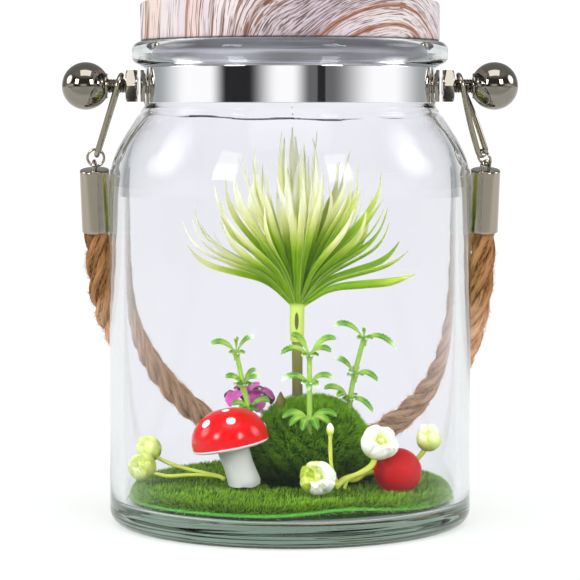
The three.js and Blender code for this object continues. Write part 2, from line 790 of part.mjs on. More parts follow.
function mushroomCap() {
  const { capR, capRise } = MUSHROOM;
  const crown = Array.from({ length: 7 }, (_, i) => {
    const angle = Math.PI / 2 * i / 7;
    return [capR * Math.cos(angle) ** 0.85, capRise * Math.sin(angle)];
  });
  const cap = turned([[0, -0.8], [capR - 1.3, -1.9], [capR - 0.3, -1.3], ...crown, [0, capRise]], 20);
  cap.rotateY(MUSHROOM.capLean);
  const reach = (MUSHROOM.capZ - SEAT_Z) * Math.tan(MUSHROOM.lean);
  cap.translate(MUSHROOM.x + reach, MUSHROOM.y, MUSHROOM.capZ);
  return cut(cap, [leaningStem(GAP)]);
}

function berry(radius) {
  const crown = (angle) => [radius * Math.cos(angle), radius * Math.sin(angle)];
  const latitudes = Array.from({ length: 8 }, (_, i) => crown(lerp(-1.35, 1.32, i / 7)));
  const ball = turned([[0, -radius], ...latitudes, [0.7, radius - 0.5], [0, radius - 0.7]], 16);
  ball.translate(BERRY.x, BERRY.y, BERRY.z);
  return ball;
}

// Buds: a ball of folded petals round an open pit. at is the centre, up the way the bud opens,
// r its radius and folds its number of petals.
const BUD_FRONT = { at: [7.4, -29, 16.2], r: 4.6, up: [-0.55, -0.7, 0.45], folds: 5 };
const BUD_RIGHT_INNER = { at: [23.4, -22.5, 24.6], r: 4.6, up: [0.1, -0.9, 0.45], folds: 5 };
const BUD_RIGHT_OUTER = { at: [37.8, -8, 23.8], r: 3.5, up: [0.35, -0.3, 0.9], folds: 4 };
const BUD_LEFT_LOW = { at: [-40.2, -8, 16], r: 3.8, up: [-0.6, -0.55, 0.5], folds: 5 };
const BUD_LEFT_HIGH = { at: [-39, -2.6, 20.3], r: 3.5, up: [-0.3, -0.3, 0.9], folds: 4 };
const BUD_TINY = { x: 10.5, y: -28.4, z: 29, r: 1, tall: 1.75 };

// Radius of a bud at an angle round its axis and an angle down from its opening
function budRadius(r, folds, round, fall) {
  const pit = 0.34 * Math.exp(-((fall / 0.5) ** 2));
  const crease = (1 - Math.abs(Math.cos(0.5 * folds * round + 1.1 * fall))) ** 2;
  const ruffle = 0.05 * Math.sin(4 * fall + folds * round);
  return r * (1 - pit - 0.2 * crease * Math.sin(fall) + ruffle * Math.sin(fall));
}

function bud({ at, r, up, folds }, stalks) {
  const around = 16;
  const rings = 7;
  const pole = v3(...up).normalize();
  const east = v3(0, 0, 0).crossVectors(pole, v3(1, 0.2, 0.1)).normalize();
  const north = v3(0, 0, 0).crossVectors(pole, east);
  const spot = (round, fall) => {
    const radius = budRadius(r, folds, round, fall);
    return v3(...at)
      .addScaledVector(east, radius * Math.sin(fall) * Math.cos(round))
      .addScaledVector(north, radius * Math.sin(fall) * Math.sin(round))
      .addScaledVector(pole, radius * Math.cos(fall));
  };
  const position = [...spot(0, 0).toArray(), ...spot(0, Math.PI).toArray()];
  const index = [];
  for (let i = 0; i < around; i += 1) {
    for (let k = 1; k < rings; k += 1) {
      position.push(...spot(2 * Math.PI * i / around, Math.PI * k / rings).toArray());
    }
    const here = 2 + i * (rings - 1);
    const next = 2 + ((i + 1) % around) * (rings - 1);
    index.push(0, here, next, 1, next + rings - 2, here + rings - 2);
    for (let k = 0; k < rings - 2; k += 1) {
      index.push(here + k, here + k + 1, next + k, next + k, here + k + 1, next + k + 1);
    }
  }
  return cut(fromArrays(position, index), stalks.map((route) => bar(route, SPRAY_R + GAP, 3, 8)));
}

// The hollow that a bud presses into the mat
function ball({ at, r }) {
  const hollow = new THREE.IcosahedronGeometry(1.08 * r + GAP, 1);
  hollow.translate(...at);
  return closed(hollow);
}

function tinyBud() {
  const { x, y, z, r, tall } = BUD_TINY;
  const body = turned([
    [0, z - tall],
    [0.6 * r, z - 0.8 * tall],
    [r, z - 0.1 * tall],
    [0.75 * r, z + 0.55 * tall],
    [0, z + tall],
  ], 10);
  body.translate(x, y, 0);
  return body;
}

// Bud sprays: yellow-green stems that fork on the mat
const SPRAY_R = 0.75;
const THIN_R = 0.5;
const RIGHT_FORK = v3(14.5, -25.5, 15.4);
const INNER_STEM = [v3(11.9, -26.6, 13.2), v3(13.2, -26, 14.4), RIGHT_FORK, v3(18.8, -24, 16.9),
  v3(21.6, -22.9, 18.7), v3(22.8, -22.4, 21.6)];
const OUTER_STEM = [RIGHT_FORK, v3(17.4, -19.6, 14.4), v3(20.6, -10.6, 14.4), v3(26.6, -6.8, 15.2),
  v3(33, -7.6, 17), v3(36.2, -8, 20), v3(37.2, -8, 22.6)];
const TINY_STEM = [v3(12.6, -26.2, 14), v3(11.2, -27.6, 17.5), v3(10.6, -28.3, 22), v3(10.5, -28.4, 27)];
const FRONT_STEM = [v3(12.4, -26.4, 13.8), v3(11, -27.2, 14.6), v3(8.6, -28.4, 16.2)];
const LEFT_FORK = v3(-20.2, -12, 14.3);
const LOW_STEM = [v3(-17.6, -12.8, 13.4), LEFT_FORK, v3(-27, -11, 14.4), v3(-33, -9.4, 13.8), v3(-38.4, -8.3, 14.8)];
const HIGH_STEM = [LEFT_FORK, v3(-26.6, -8.8, 15.4), v3(-32.6, -5.6, 16.6), v3(-37.6, -3.2, 18.6)];

// The whole thing
place(terrarium, 'jar', jar(), glass);
place(terrarium, 'stopper', stopper(), printedWood);
place(terrarium, 'seal_ring', sealRing(), silicone);
place(terrarium, 'neck_band', neckBand(), steel);
for (const [side, name] of [[-1, 'left'], [1, 'right']]) {
  sideHardware(side, name);
  sideSuspension(side, name);
}
place(handle, 'rope', rope(), jute);

const stemHoles = [
  bar([v3(TUFT.x, TUFT.y, MOUND.top - 14 - GAP), v3(TUFT.x, TUFT.y, MOUND.top + 3)], TUFT_STEM_R + GAP, 5, 2),
  flowerStalk(STALK_R + GAP),
  shoot(GAP),
  ...Object.values(SPRIGS).map(({ route }) =>
    bar([v3(...route[0]).add(v3(0, 0, -GAP)), ...route.slice(1).map((p) => v3(...p))], SPRIG_R + GAP, 3, 6)),
];
place(garden, 'turf', cut(turf(), [berry(BERRY.r + GAP), ball(BUD_FRONT)]), grass);
place(garden, 'moss_mound', cut(mound(), stemHoles), moss);
place(garden, 'tuft_stem', tuftStem(), bark);
place(garden, 'tuft_head', tuftHead(), tuftGreen);
for (const name of Object.keys(SPRIGS)) {
  place(garden, `sprig_${name}`, sprig(SPRIGS[name]), leafGreen);
}
place(garden, 'purple_flower', flower(), petalPurple);
place(garden, 'flower_stalk', flowerStalk(STALK_R), paleLeaf);
place(garden, 'shoot', shoot(0), bark);
place(garden, 'mushroom_stem', mushroomStem(), foamWhite);
place(garden, 'mushroom_cap', mushroomCap(), glossRed);
place(garden, 'berry', berry(BERRY.r), berryRed);
place(garden, 'spray_right', fuse([
  bar(INNER_STEM, SPRAY_R, 3, 9),
  bar(OUTER_STEM, SPRAY_R, 3, 10),
  bar(FRONT_STEM, SPRAY_R, 3, 3),
  bar(TINY_STEM, THIN_R, 3, 5),
]), stemGreen);
place(garden, 'spray_left', fuse([bar(LOW_STEM, THIN_R, 3, 8), bar(HIGH_STEM, THIN_R, 3, 6)]), stemGreen);
place(garden, 'bud_front', bud(BUD_FRONT, [FRONT_STEM, TINY_STEM]), budWhite);
place(garden, 'bud_tiny', tinyBud(), budWhite);
place(garden, 'bud_right_inner', bud(BUD_RIGHT_INNER, [INNER_STEM]), budWhite);
place(garden, 'bud_right_outer', bud(BUD_RIGHT_OUTER, [OUTER_STEM]), budWhite);
place(garden, 'bud_left_low', bud(BUD_LEFT_LOW, [LOW_STEM]), budWhite);
place(garden, 'bud_left_high', bud(BUD_LEFT_HIGH, [HIGH_STEM]), budWhite);

export default terrarium;
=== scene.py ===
"""A planted glass jar: thick blown glass, a printed wood lid, a rope handle on steel studs, and a small
made garden inside. Shapes are worked out in millimetres and put into the meshes in metres."""

import math

import bpy
import numpy as np
from bpy.props import FloatProperty, FloatVectorProperty, IntProperty, PointerProperty
from bpy.types import Operator, Panel, PropertyGroup
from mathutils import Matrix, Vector


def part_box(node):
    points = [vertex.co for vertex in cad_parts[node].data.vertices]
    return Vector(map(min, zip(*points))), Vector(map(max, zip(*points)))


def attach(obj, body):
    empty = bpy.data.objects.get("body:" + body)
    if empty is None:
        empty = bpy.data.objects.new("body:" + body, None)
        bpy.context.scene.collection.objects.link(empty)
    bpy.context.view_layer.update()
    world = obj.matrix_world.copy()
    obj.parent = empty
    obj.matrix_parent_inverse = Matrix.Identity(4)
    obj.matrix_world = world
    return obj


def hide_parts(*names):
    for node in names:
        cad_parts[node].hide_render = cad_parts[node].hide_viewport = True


bl_info = {
    "name": "Planted Glass Jar",
    "version": (1, 0, 0),
    "blender": (4, 5, 0),
    "location": "3D View > Sidebar > Glass Jar",
    "description": "Builds a lidded glass jar with a rope handle and a small garden",
    "category": "Add Mesh",
}

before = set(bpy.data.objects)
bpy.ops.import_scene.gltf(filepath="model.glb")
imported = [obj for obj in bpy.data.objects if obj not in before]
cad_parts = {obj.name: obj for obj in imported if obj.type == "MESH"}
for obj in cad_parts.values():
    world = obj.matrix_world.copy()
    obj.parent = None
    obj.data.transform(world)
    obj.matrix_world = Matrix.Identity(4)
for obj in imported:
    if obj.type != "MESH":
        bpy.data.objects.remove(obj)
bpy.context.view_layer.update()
JAR_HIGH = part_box("jar")[1]
LID_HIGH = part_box("stopper")[1]
MM = 0.001
TAU = 2 * math.pi
# The two bodies that pieces ride on
STILL = "planted_jar"
SWINGS = "handle"
SIDES = ((-1, "left"), (1, "right"))
BLACK, WHITE = (0, 0, 0), (1, 1, 1)


def ink(red, green, blue):
    """The linear colour of a screen colour given from 0 to 255."""
    share = np.array([red, green, blue]) / 255
    linear = np.where(share <= 0.04045, share / 12.92, ((share + 0.055) / 1.055) ** 2.4)
    return tuple(float(channel) for channel in linear)


def between(first, second, share):
    """The colour at a share of the way from the first to the second."""
    return tuple((1 - share) * a + share * b for a, b in zip(first, second))


def size(label, millimetres, note):
    """A length property with its default in millimetres."""
    return FloatProperty(name=label, description=note, default=millimetres * MM, min=0, unit="LENGTH")


def colour(label, rgb, note):
    """A colour property with a screen colour as its default."""
    return FloatVectorProperty(
        name=label, description=note, default=ink(*rgb), min=0, max=1, size=3, subtype="COLOR"
    )


def number(label, count, note):
    """A whole number with its default."""
    return IntProperty(name=label, description=note, default=count, min=0)


class GlassSettings(PropertyGroup):
    """Sizes and tint of the glass jar"""

    body_radius: size("Body radius", JAR_HIGH.x / MM, "Outside radius of the straight wall")
    wall: size("Wall", 4, "Thickness of the straight wall")
    floor_height: size("Floor", 6.5, "Height of the inner floor")
    shoulder_height: size("Shoulder", 95, "Height where the wall starts to curve in")
    neck_radius: size("Neck radius", 40.2, "Outside radius of the neck")
    mouth_radius: size("Mouth radius", 38.2, "Inside radius of the mouth")
    rim_radius: size("Rim radius", 43.6, "Outside radius of the rolled rim")
    rim_top: size("Rim top", JAR_HIGH.z / MM, "Height of the rim")
    tint: colour("Tint", (82, 147, 99), "Colour that thick glass takes on")


class LidSettings(PropertyGroup):
    """Size of the lid and colours of its print"""

    radius: size("Lid radius", LID_HIGH.x / MM, "Outside radius of the lid")
    top: size("Lid top", LID_HIGH.z / MM, "Height of the lid's top face")
    whitewash: colour("Whitewash", (216, 205, 205), "Ground colour of the print")
    line: colour("Grain line", (72, 42, 30), "Colour of the fine grain lines")
    bold: colour("Bold ring", (130, 72, 28), "Colour of the bold growth rings")


class HandleSettings(PropertyGroup):
    """The rope's make and the colours of rope and fittings"""

    rope_radius: size("Rope radius", 3.75, "Radius of the laid rope")
    lay_length: size("Lay length", 27, "Length of one full turn of a strand")
    yarn_length: size("Yarn length", 34, "Length of one full turn of a strand's own fibres")
    fuzz: number("Fuzz", 5000, "Loose fibres on the rope")
    jute_light: colour("Light jute", (165, 118, 74), "Lit fibres")
    # Dark jute is mostly painted shade: the colour deep between the strands
    jute_dark: colour("Dark jute", (74, 46, 22), "Fibres deep between the strands")
    nickel: colour("Nickel", (142, 136, 126), "Colour of the plated knobs, studs and nuts")
    fittings: colour("Fittings", (164, 155, 141), "Colour of the hooks, rings and ferrules")


class GardenSettings(PropertyGroup):
    """Fibres and colours of the garden"""

    turf_pile: size("Turf pile", 2.1, "Length of the mat's fibres")
    turf_count: number("Turf fibres", 26000, "Fibres on the mat")
    moss_pile: size("Moss pile", 2.4, "Length of the moss fibres")
    moss_count: number("Moss fibres", 34000, "Fibres on the mound")
    # The fibres' ramp from grass root to grass tip is partly painted shade at the foot and painted light
    # at the tip
    grass_root: colour("Grass root", (26, 64, 4), "Foot of the fibres")
    grass_tip: colour("Grass tip", (142, 190, 44), "Tips of the fibres")
    backing: colour("Mat backing", (86, 184, 56), "Felt under the mat")
    blade_root: colour("Blade root", (112, 156, 4), "Tuft blades near the hub")
    blade_tip: colour("Blade tip", (234, 234, 208), "Tuft blades at their tips")
    leaf: colour("Leaf", (148, 184, 78), "Sprig leaves near the stem")
    petal: colour("Petal", (196, 66, 164), "Flower petals")
    cap: colour("Cap", (216, 0, 6), "Mushroom cap")
    berry: colour("Berry", (190, 0, 6), "Berry")


class StageSettings(PropertyGroup):
    """Floor colours and the strength of the soft cards"""

    floor: colour("Floor", (152, 154, 152), "Colour of the floor by the jar")
    front: colour("Floor in front", (138, 142, 138), "Colour of the floor nearer the camera")
    softbox: FloatProperty(name="Side light", description="Strength of the soft cards", default=8, min=0)


# Arrays of points
def unit(vectors):
    """The vectors at length one."""
    return vectors / np.maximum(np.linalg.norm(vectors, axis=-1, keepdims=True), 1e-12)


def step(low, high, x):
    """Rises smoothly from 0 at low to 1 at high, as 3t^2 - 2t^3."""
    t = np.clip((x - low) / (high - low), 0, 1)
    return t * t * (3 - 2 * t)


def circle(steps):
    """Angles of one turn, without the last."""
    return np.arange(steps) * TAU / steps


def polar(radius, angle, height):
    """Points at a distance from Z, an angle round it and a height."""
    return np.stack(np.broadcast_arrays(radius * np.cos(angle), radius * np.sin(angle), height), -1)


def heading(turn, rise):
    """Unit vectors at an angle round Z and an angle above level."""
    return polar(np.cos(rise), turn, np.sin(rise))


def around(angle, first, second):
    """Points of the unit circle at the angles, in the plane of two axes square to each other."""
    angle = angle[:, None]
    return np.cos(angle) * first[..., None, :] + np.sin(angle) * second[..., None, :]


def arc(r, z, radius, start, end, steps):
    """(radius, height) pairs on a circle round (r, z), with the angles in degrees."""
    angle = np.radians(np.linspace(start, end, steps + 1))
    return np.stack([r + radius * np.cos(angle), z + radius * np.sin(angle)], -1)


def run_of(path):
    """How far each point lies along the path."""
    return np.concatenate([[0], np.cumsum(np.linalg.norm(np.diff(path, axis=0), axis=1))])


def bezier(points, steps):
    """Cubic curve through control points (..., 4, n), with the Bernstein weights of t in even steps."""
    t = np.linspace(0, 1, steps)
    weights = np.stack([(1 - t) ** 3, 3 * t * (1 - t) ** 2, 3 * t * t * (1 - t), t ** 3])
    return np.einsum("kt,...kn->...tn", weights, np.asarray(points, float))


def smooth(points, steps):
    """Even steps along the smooth curve through the points: between b and c it is half of
    2b + (c - a)t + (2a - 5b + 4c - d)t^2 + (3b - a - 3c + d)t^3, with their neighbours a and d."""
    p = np.asarray(points, float)
    p = np.concatenate([[2 * p[0] - p[1]], p, [2 * p[-1] - p[-2]]])
    s = np.linspace(0, len(p) - 3, 12 * steps)
    i = np.minimum(s.astype(int), len(p) - 4)
    t = (s - i)[:, None]
    a, b, c, d = (p[i + k] for k in range(4))
    fine = 0.5 * (2 * b + (c - a) * t + (2 * a - 5 * b + 4 * c - d) * t ** 2
                  + (3 * b - a - 3 * c + d) * t ** 3)
    run = run_of(fine)
    even = np.linspace(0, run[-1], steps)
    return np.stack([np.interp(even, run, fine[:, k]) for k in range(3)], -1)


def axes_along(path, reference, closed=False):
    """Tangent, normal and binormal on a path: the tangent is the central difference, taken round the
    end where the path closes on itself, and the normal is the part of reference square to it."""
    if closed:
        tangent = unit(np.roll(path, -1, 0) - np.roll(path, 1, 0))
    else:
        tangent = unit(np.gradient(path, axis=-2))
    reference = np.broadcast_to(np.asarray(reference, float), path.shape)
    normal = unit(reference - (reference * tangent).sum(-1, keepdims=True) * tangent)
    return tangent, normal, np.cross(tangent, normal)


def sweep(path, radius, sides, reference=(0, 1, 0), closed=False):
    """A round section of the given radius, square to the path at each of its points."""
    _, normal, binormal = axes_along(path, reference, closed)
    radius = np.broadcast_to(radius, path.shape[:-1])[..., None, None]
    return path[..., None, :] + radius * around(circle(sides), normal, binormal)


def grid_faces(rows, columns, wrap_rows=False):
    """Quads between neighbours of a grid whose columns close on themselves."""
    row = np.arange(rows if wrap_rows else rows - 1)[:, None]
    column = np.arange(columns)[None, :]
    near, far = row * columns, (row + 1) % rows * columns
    beside = (column + 1) % columns
    return np.stack([near + column, near + beside, far + beside, far + column], -1).reshape(-1, 4)


class Shell:
    """Closed surfaces in millimetres: points, faces with four and three corners, and named values."""

    def __init__(self, points, quads=(), tris=(), **values):
        self.points = np.asarray(points, float).reshape(-1, 3)
        self.quads = np.asarray(quads, int).reshape(-1, 4)
        self.tris = np.asarray(tris, int).reshape(-1, 3)
        self.values = values

    def __add__(self, other):
        shift = len(self.points)
        keys = sorted(set(self.values) | set(other.values))
        values = {key: np.concatenate([part.value(key) for part in (self, other)]) for key in keys}
        return Shell(
            np.concatenate([self.points, other.points]),
            np.concatenate([self.quads, other.quads + shift]),
            np.concatenate([self.tris, other.tris + shift]),
            **values,
        )

    def value(self, key):
        """The named values, or zeros."""
        return np.asarray(self.values.get(key, np.zeros(len(self.points))), float)

    def corners(self):
        """All faces as triangles."""
        halves = [self.quads[:, [0, 1, 2]], self.quads[:, [0, 2, 3]], self.tris]
        return np.concatenate(halves)

    def outward(self):
        """Turns every face over if the volume, the sum of a . (b x c) / 6, is negative."""
        a, b, c = (self.points[self.corners()[:, k]] for k in range(3))
        if (a * np.cross(b, c)).sum() < 0:
            self.quads = self.quads[:, ::-1]
            self.tris = self.tris[:, ::-1]
        return self

    def carry(self, **values):
        """Gives every point the same named values."""
        self.values = {key: np.full(len(self.points), float(value)) for key, value in values.items()}
        return self

    def moved(self, shift):
        """The same surfaces, moved."""
        self.points = self.points + np.asarray(shift, float)
        return self

    def turned(self, matrix):
        """The same surfaces, turned by a 3 x 3 matrix whose columns are the new axes."""
        self.points = self.points @ np.asarray(matrix, float).T
        return self


def tubes(points, ends=None, **values):
    """n closed tubes from points (n, rows, columns, 3). Each end closes on a pole: the middle of its
    row, or the points in ends (n, 2, 3). Values are broadcast to the grid and averaged at the poles."""
    n, rows, columns = points.shape[:3]
    if ends is None:
        ends = points[:, [0, -1]].mean(2)
    ring = np.arange(columns)
    beside = (ring + 1) % columns
    last = (rows - 1) * columns
    pole = np.full(columns, rows * columns)
    caps = np.concatenate([
        np.stack([pole, beside, ring], -1),
        np.stack([pole + 1, ring + last, beside + last], -1),
    ])
    shift = np.arange(n)[:, None, None] * (rows * columns + 2)
    spread_values = {}
    for key, value in values.items():
        grid = np.broadcast_to(value, (n, rows, columns) + np.shape(value)[3:])
        poles = grid[:, [0, -1]].mean(2)
        flat = grid.reshape((n, rows * columns) + grid.shape[3:])
        merged = np.concatenate([flat, poles], 1)
        spread_values[key] = merged.reshape((-1,) + merged.shape[2:])
    return Shell(
        np.concatenate([points.reshape(n, -1, 3), ends], 1),
        grid_faces(rows, columns) + shift,
        caps + shift,
        **spread_values,
    ).outward()


def spun(profile, turns=96):
    """(radius, height) pairs carried round Z, as a grid of points."""
    profile = np.asarray(profile, float)
    return polar(profile[:, :1], circle(turns), profile[:, 1:])


def solid_of(grid, low, high):
    """One closed surface from a spun grid, with its poles on the axis at heights low and high."""
    return tubes(grid[None], np.array([[[0, 0, low], [0, 0, high]]], float))


def lathe(profile, turns=96):
    """A solid of revolution from pairs that start and end on the axis."""
    profile = np.asarray(profile, float)
    return solid_of(spun(profile[1:-1], turns), profile[0, 1], profile[-1, 1])


def hoop(grid):
    """A ring from a grid whose rows and columns both close on themselves."""
    return Shell(grid, grid_faces(*grid.shape[:2], wrap_rows=True)).outward()


def closed_wire(path, radius, sides, reference):
    """A wire whose path closes on itself."""
    return hoop(sweep(path, radius, sides, reference, closed=True))


def rod(path, radius, sides, reference=(0, 1, 0), **values):
    """A closed round rod along a path."""
    return tubes(sweep(path, radius, sides, reference)[None], **values)


def box_section(inner, outer, low, high, ease):
    """A rectangular ring section with its four edges eased by quarter circles, and a point close to
    each on the long sides that keeps those flat."""
    hold = 1.4 * ease
    return np.concatenate([
        arc(outer - ease, low + ease, ease, -90, 0, 3),
        [[outer, low + hold], [outer, high - hold]],
        arc(outer - ease, high - ease, ease, 0, 90, 3),
        arc(inner + ease, high - ease, ease, 90, 180, 3),
        [[inner, high - hold], [inner, low + hold]],
        arc(inner + ease, low + ease, ease, 180, 270, 3),
    ])


def ribbons(curve, face, half_width, half_thickness, cup, sides=8, **values):
    """Thin leaves along curves (n, rows, 3). At an angle a round the section a point lies
    half_width cos a across and half_thickness sin a + cup half_width cos^2 a up."""
    tangent = unit(np.gradient(curve, axis=-2))
    across = unit(np.cross(tangent, np.broadcast_to(face, curve.shape)))
    up = np.cross(across, tangent)
    angle = circle(sides)
    width = np.broadcast_to(half_width, curve.shape[:-1])[..., None] * np.cos(angle)
    lens = half_thickness * np.sin(angle)
    rise = lens + cup * np.abs(width) * np.abs(np.cos(angle))
    points = (curve[..., None, :] + width[..., None] * across[..., None, :]
              + rise[..., None] * up[..., None, :])
    along = np.linspace(0, 1, curve.shape[-2])[None, :, None]
    return tubes(points, along=along, side=np.cos(angle)[None, None, :], **values)


def fibres(roots, normals, length, width, lean, rng):
    """One slim four-faced needle for each root: three points round it and a tip along its normal,
    leant by a random vector, 0.65 to 1 of the length away. along is 0 at the root and 1 at the tip,
    and tone is random."""
    n = len(roots)
    way = unit(normals + lean * rng.normal(size=(n, 3)))
    side = unit(np.cross(way, rng.normal(size=(n, 3))))
    ring = around(circle(3), side, np.cross(way, side))
    reach = length * rng.uniform(0.65, 1.0, n)[:, None]
    points = np.concatenate([roots[:, None] + width * ring, (roots + reach * way)[:, None]], 1)
    faces = np.array([[0, 2, 1], [0, 1, 3], [1, 2, 3], [2, 0, 3]])
    tris = faces + 4 * np.arange(n)[:, None, None]
    tone = np.repeat(rng.uniform(0, 1, n), 4)
    return Shell(points, (), tris, along=np.tile([0.0, 0, 0, 1], n), tone=tone).outward()


def build(name, shell, material, body, replaces=(), sharp=50):
    """Makes the mesh object, hangs it on the empty of the body it rides on, and hides the parts of
    model.glb that it replaces.
    """
    mesh = bpy.data.meshes.new(name)
    corners = np.concatenate([shell.quads.ravel(), shell.tris.ravel()]).astype(np.int32)
    sides = np.concatenate([np.full(len(shell.quads), 4), np.full(len(shell.tris), 3)])
    starts = np.concatenate([[0], np.cumsum(sides)[:-1]]).astype(np.int32)
    mesh.vertices.add(len(shell.points))
    mesh.vertices.foreach_set("co", (shell.points * MM).astype(np.float32).ravel())
    mesh.loops.add(len(corners))
    mesh.loops.foreach_set("vertex_index", corners)
    mesh.polygons.add(len(sides))
    mesh.polygons.foreach_set("loop_start", starts)
    mesh.polygons.foreach_set("use_smooth", np.ones(len(sides), bool))
    mesh.update(calc_edges=True)
    mesh.set_sharp_from_angle(angle=math.radians(sharp))
    for key in shell.values:
        value = shell.value(key).astype(np.float32)
        kind, field = ("FLOAT_VECTOR", "vector") if value.ndim == 2 else ("FLOAT", "value")
        mesh.attributes.new(key, kind, "POINT").data.foreach_set(field, value.ravel())
    mesh.materials.append(material)
    piece = bpy.data.objects.new(name, mesh)
    bpy.context.scene.collection.objects.link(piece)
    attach(piece, body)
    if replaces:
        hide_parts(*([replaces] if isinstance(replaces, str) else replaces))
    return piece


# Materials
class Value:
    """A shader value in a Python expression: each operator adds one Math node."""

    def __init__(self, paint, socket):
        self.paint = paint
        self.socket = socket

    def math(self, operation, *others):
        """A Math node on this value and others."""
        return self.paint.add("Math", {"operation": operation}, self, *others)

    def __add__(self, other):
        return self.math("ADD", other)

    __radd__ = __add__

    def __sub__(self, other):
        return self.math("SUBTRACT", other)

    def __rsub__(self, other):
        return self.paint.add("Math", {"operation": "SUBTRACT"}, other, self)

    def __mul__(self, other):
        return self.math("MULTIPLY", other)

    __rmul__ = __mul__

    def __truediv__(self, other):
        return self.math("DIVIDE", other)

    def at_most(self, limit):
        """The value, or the limit where it is over it."""
        return self.math("MINIMUM", limit)

    def within(self, low, high):
        """0 below low and 1 above high, smooth between."""
        settings = {"interpolation_type": "SMOOTHSTEP"}
        return self.paint.add("MapRange", settings, self, low, high)


class Paint:
    """The nodes of one material, or of the world."""

    def __init__(self, name, owner=None):
        self.owner = owner or bpy.data.materials.new(name)
        self.owner.use_nodes = True
        self.tree = self.owner.node_tree
        self.tree.nodes.clear()

    def add(self, kind, settings=None, *values, output=0, at=None, **named):
        """A node with its settings, and values or links for its sockets: in order, by index, by name."""
        node = self.tree.nodes.new("ShaderNode" + kind)
        for key, value in (settings or {}).items():
            if key == "stops":
                ramp = node.color_ramp
                while len(ramp.elements) < len(value):
                    ramp.elements.new(0.5)
                for element, (place, tint) in zip(ramp.elements, value):
                    element.position = place
                    element.color = (*tint, 1)
            else:
                setattr(node, key, value)
        sockets = {node.inputs[i]: value for i, value in enumerate(values)}
        sockets.update({node.inputs[i]: value for i, value in (at or {}).items()})
        sockets.update({node.inputs[key.replace("_", " ")]: value for key, value in named.items()})
        for socket, value in sockets.items():
            if isinstance(value, Value):
                self.tree.links.new(value.socket, socket)
            elif socket.type == "RGBA":
                socket.default_value = (*value, 1)
            else:
                socket.default_value = value
        return Value(self, node.outputs[output]) if node.outputs else node

    def place(self):
        """Object coordinates, in metres."""
        return self.add("TexCoord", output=3)

    def axis(self, where, index):
        """The x, y or z of a place, for index 0, 1 or 2, in millimetres."""
        return self.add("SeparateXYZ", None, where, output=index) / MM

    def field(self, name, vector=False):
        """A value that the mesh carries."""
        return self.add("Attribute", {"attribute_name": name}, output=1 if vector else 2)

    def noise(self, where, scale, detail=3.0, stretch=None, roughness=0.5):
        """Noise from 0 to 1, stretched along an axis where its scale is low."""
        if stretch:
            where = self.add("Mapping", None, Vector=where, Scale=stretch)
        return self.add("TexNoise", None, Vector=where, Scale=scale, Detail=detail, Roughness=roughness)

    def mix(self, factor, first, second):
        """From the first colour to the second."""
        return self.add("Mix", {"data_type": "RGBA"}, output=2, at={0: factor, 6: first, 7: second})

    def ramp(self, factor, *stops):
        """A colour for each value, between stops of (value, colour)."""
        return self.add("ValToRGB", {"stops": stops}, factor)

    def bump(self, height, depth, strength=1.0):
        """A normal from a height field: depth in millimetres."""
        return self.add("Bump", None, Strength=strength, Distance=depth * MM, Height=height)

    def finish(self, **sockets):
        """The surface shader and the output."""
        shader = self.add("BsdfPrincipled", None, **sockets)
        self.add("OutputMaterial", None, shader)
        return self.owner


def clear_glass(tint):
    """Clear glass that lets lamp light through, and takes its tint from its thickness. Its faint
    lavender surface colour is a painted reflection of a bluish room.
    """
    paint = Paint("clear_glass")
    # The faint lavender of Base_Color is a painted reflection of a bluish room
    body = paint.add("BsdfPrincipled", None, Base_Color=(0.963, 0.952, 0.996), Roughness=0.0,
                     IOR=1.47, Specular_Tint=(0.25, 0.25, 0.25), Transmission_Weight=1.0)
    open_way = paint.add("BsdfTransparent", None, Color=(0.95, 0.965, 0.96))
    shadow = paint.add("LightPath", None, output=1)
    surface = paint.add("MixShader", None, shadow, body, open_way)
    depth = paint.add("VolumeAbsorption", None, Color=tint, Density=17.0)
    paint.add("OutputMaterial", None, surface, depth)
    return paint.owner


def polished(name, rgb, roughness):
    """Plated metal with faint rubbing marks in its polish."""
    paint = Paint(name)
    marks = paint.noise(paint.place(), 900.0, 4.0, stretch=(1, 1, 0.08))
    return paint.finish(Base_Color=rgb, Metallic=1.0, Roughness=roughness + 0.03 * marks)


def simple(name, rgb, roughness, mottling, scale=300.0, depth=0.05, coat=0.0, shine=0.3):
    """Moulded plastic: a colour with soft mottling and a fine uneven skin. coat is its clear gloss, and
    shine how strongly the skin under it mirrors."""
    paint = Paint(name)
    where = paint.place()
    cloud = paint.noise(where, scale, 4.0)
    tint = paint.mix(cloud, rgb, between(BLACK, rgb, mottling))
    skin = paint.bump(paint.noise(where, 4 * scale, 3.0), depth, 0.4)
    return paint.finish(Base_Color=tint, Roughness=roughness + 0.1 * cloud, Coat_Weight=coat,
                        Coat_Roughness=0.04, Specular_IOR_Level=shine, Normal=skin)


# Side hardware sizes, in millimetres
GAP = 0.3
BAND_OUT = 41.7
BAND_LOW, BAND_HIGH = 115.6, 125.4
STUD_Z = 120.5
STUD_R = 2.0
KNOB_X, KNOB_R = 56.4, 6.6
NUT_AT, NUT_T, NUT_FLAT = 42.0, 3.2, 4.37
HOOK_X, HOOK_WIRE, HOOK_TAIL_R = 47.5, 0.8, 1.4
HOOK_EYE_R = STUD_R + GAP + HOOK_WIRE
RING_R, RING_WIRE = 2.33, 0.375
LOOP_R, LOOP_WIRE, LOOP_LEG = 1.5, 0.55, 0.8
FERRULE_R, FERRULE_BORE, FERRULE_ROOF = 4.15, 3.8, 1.2
FERRULE_TOP = np.array([54.4, 4.2, 97.4])
FERRULE_END = np.array([54.05, 7.6, 80.0])
TAIL_TWIST = {"left": 0.0, "right": 0.95}

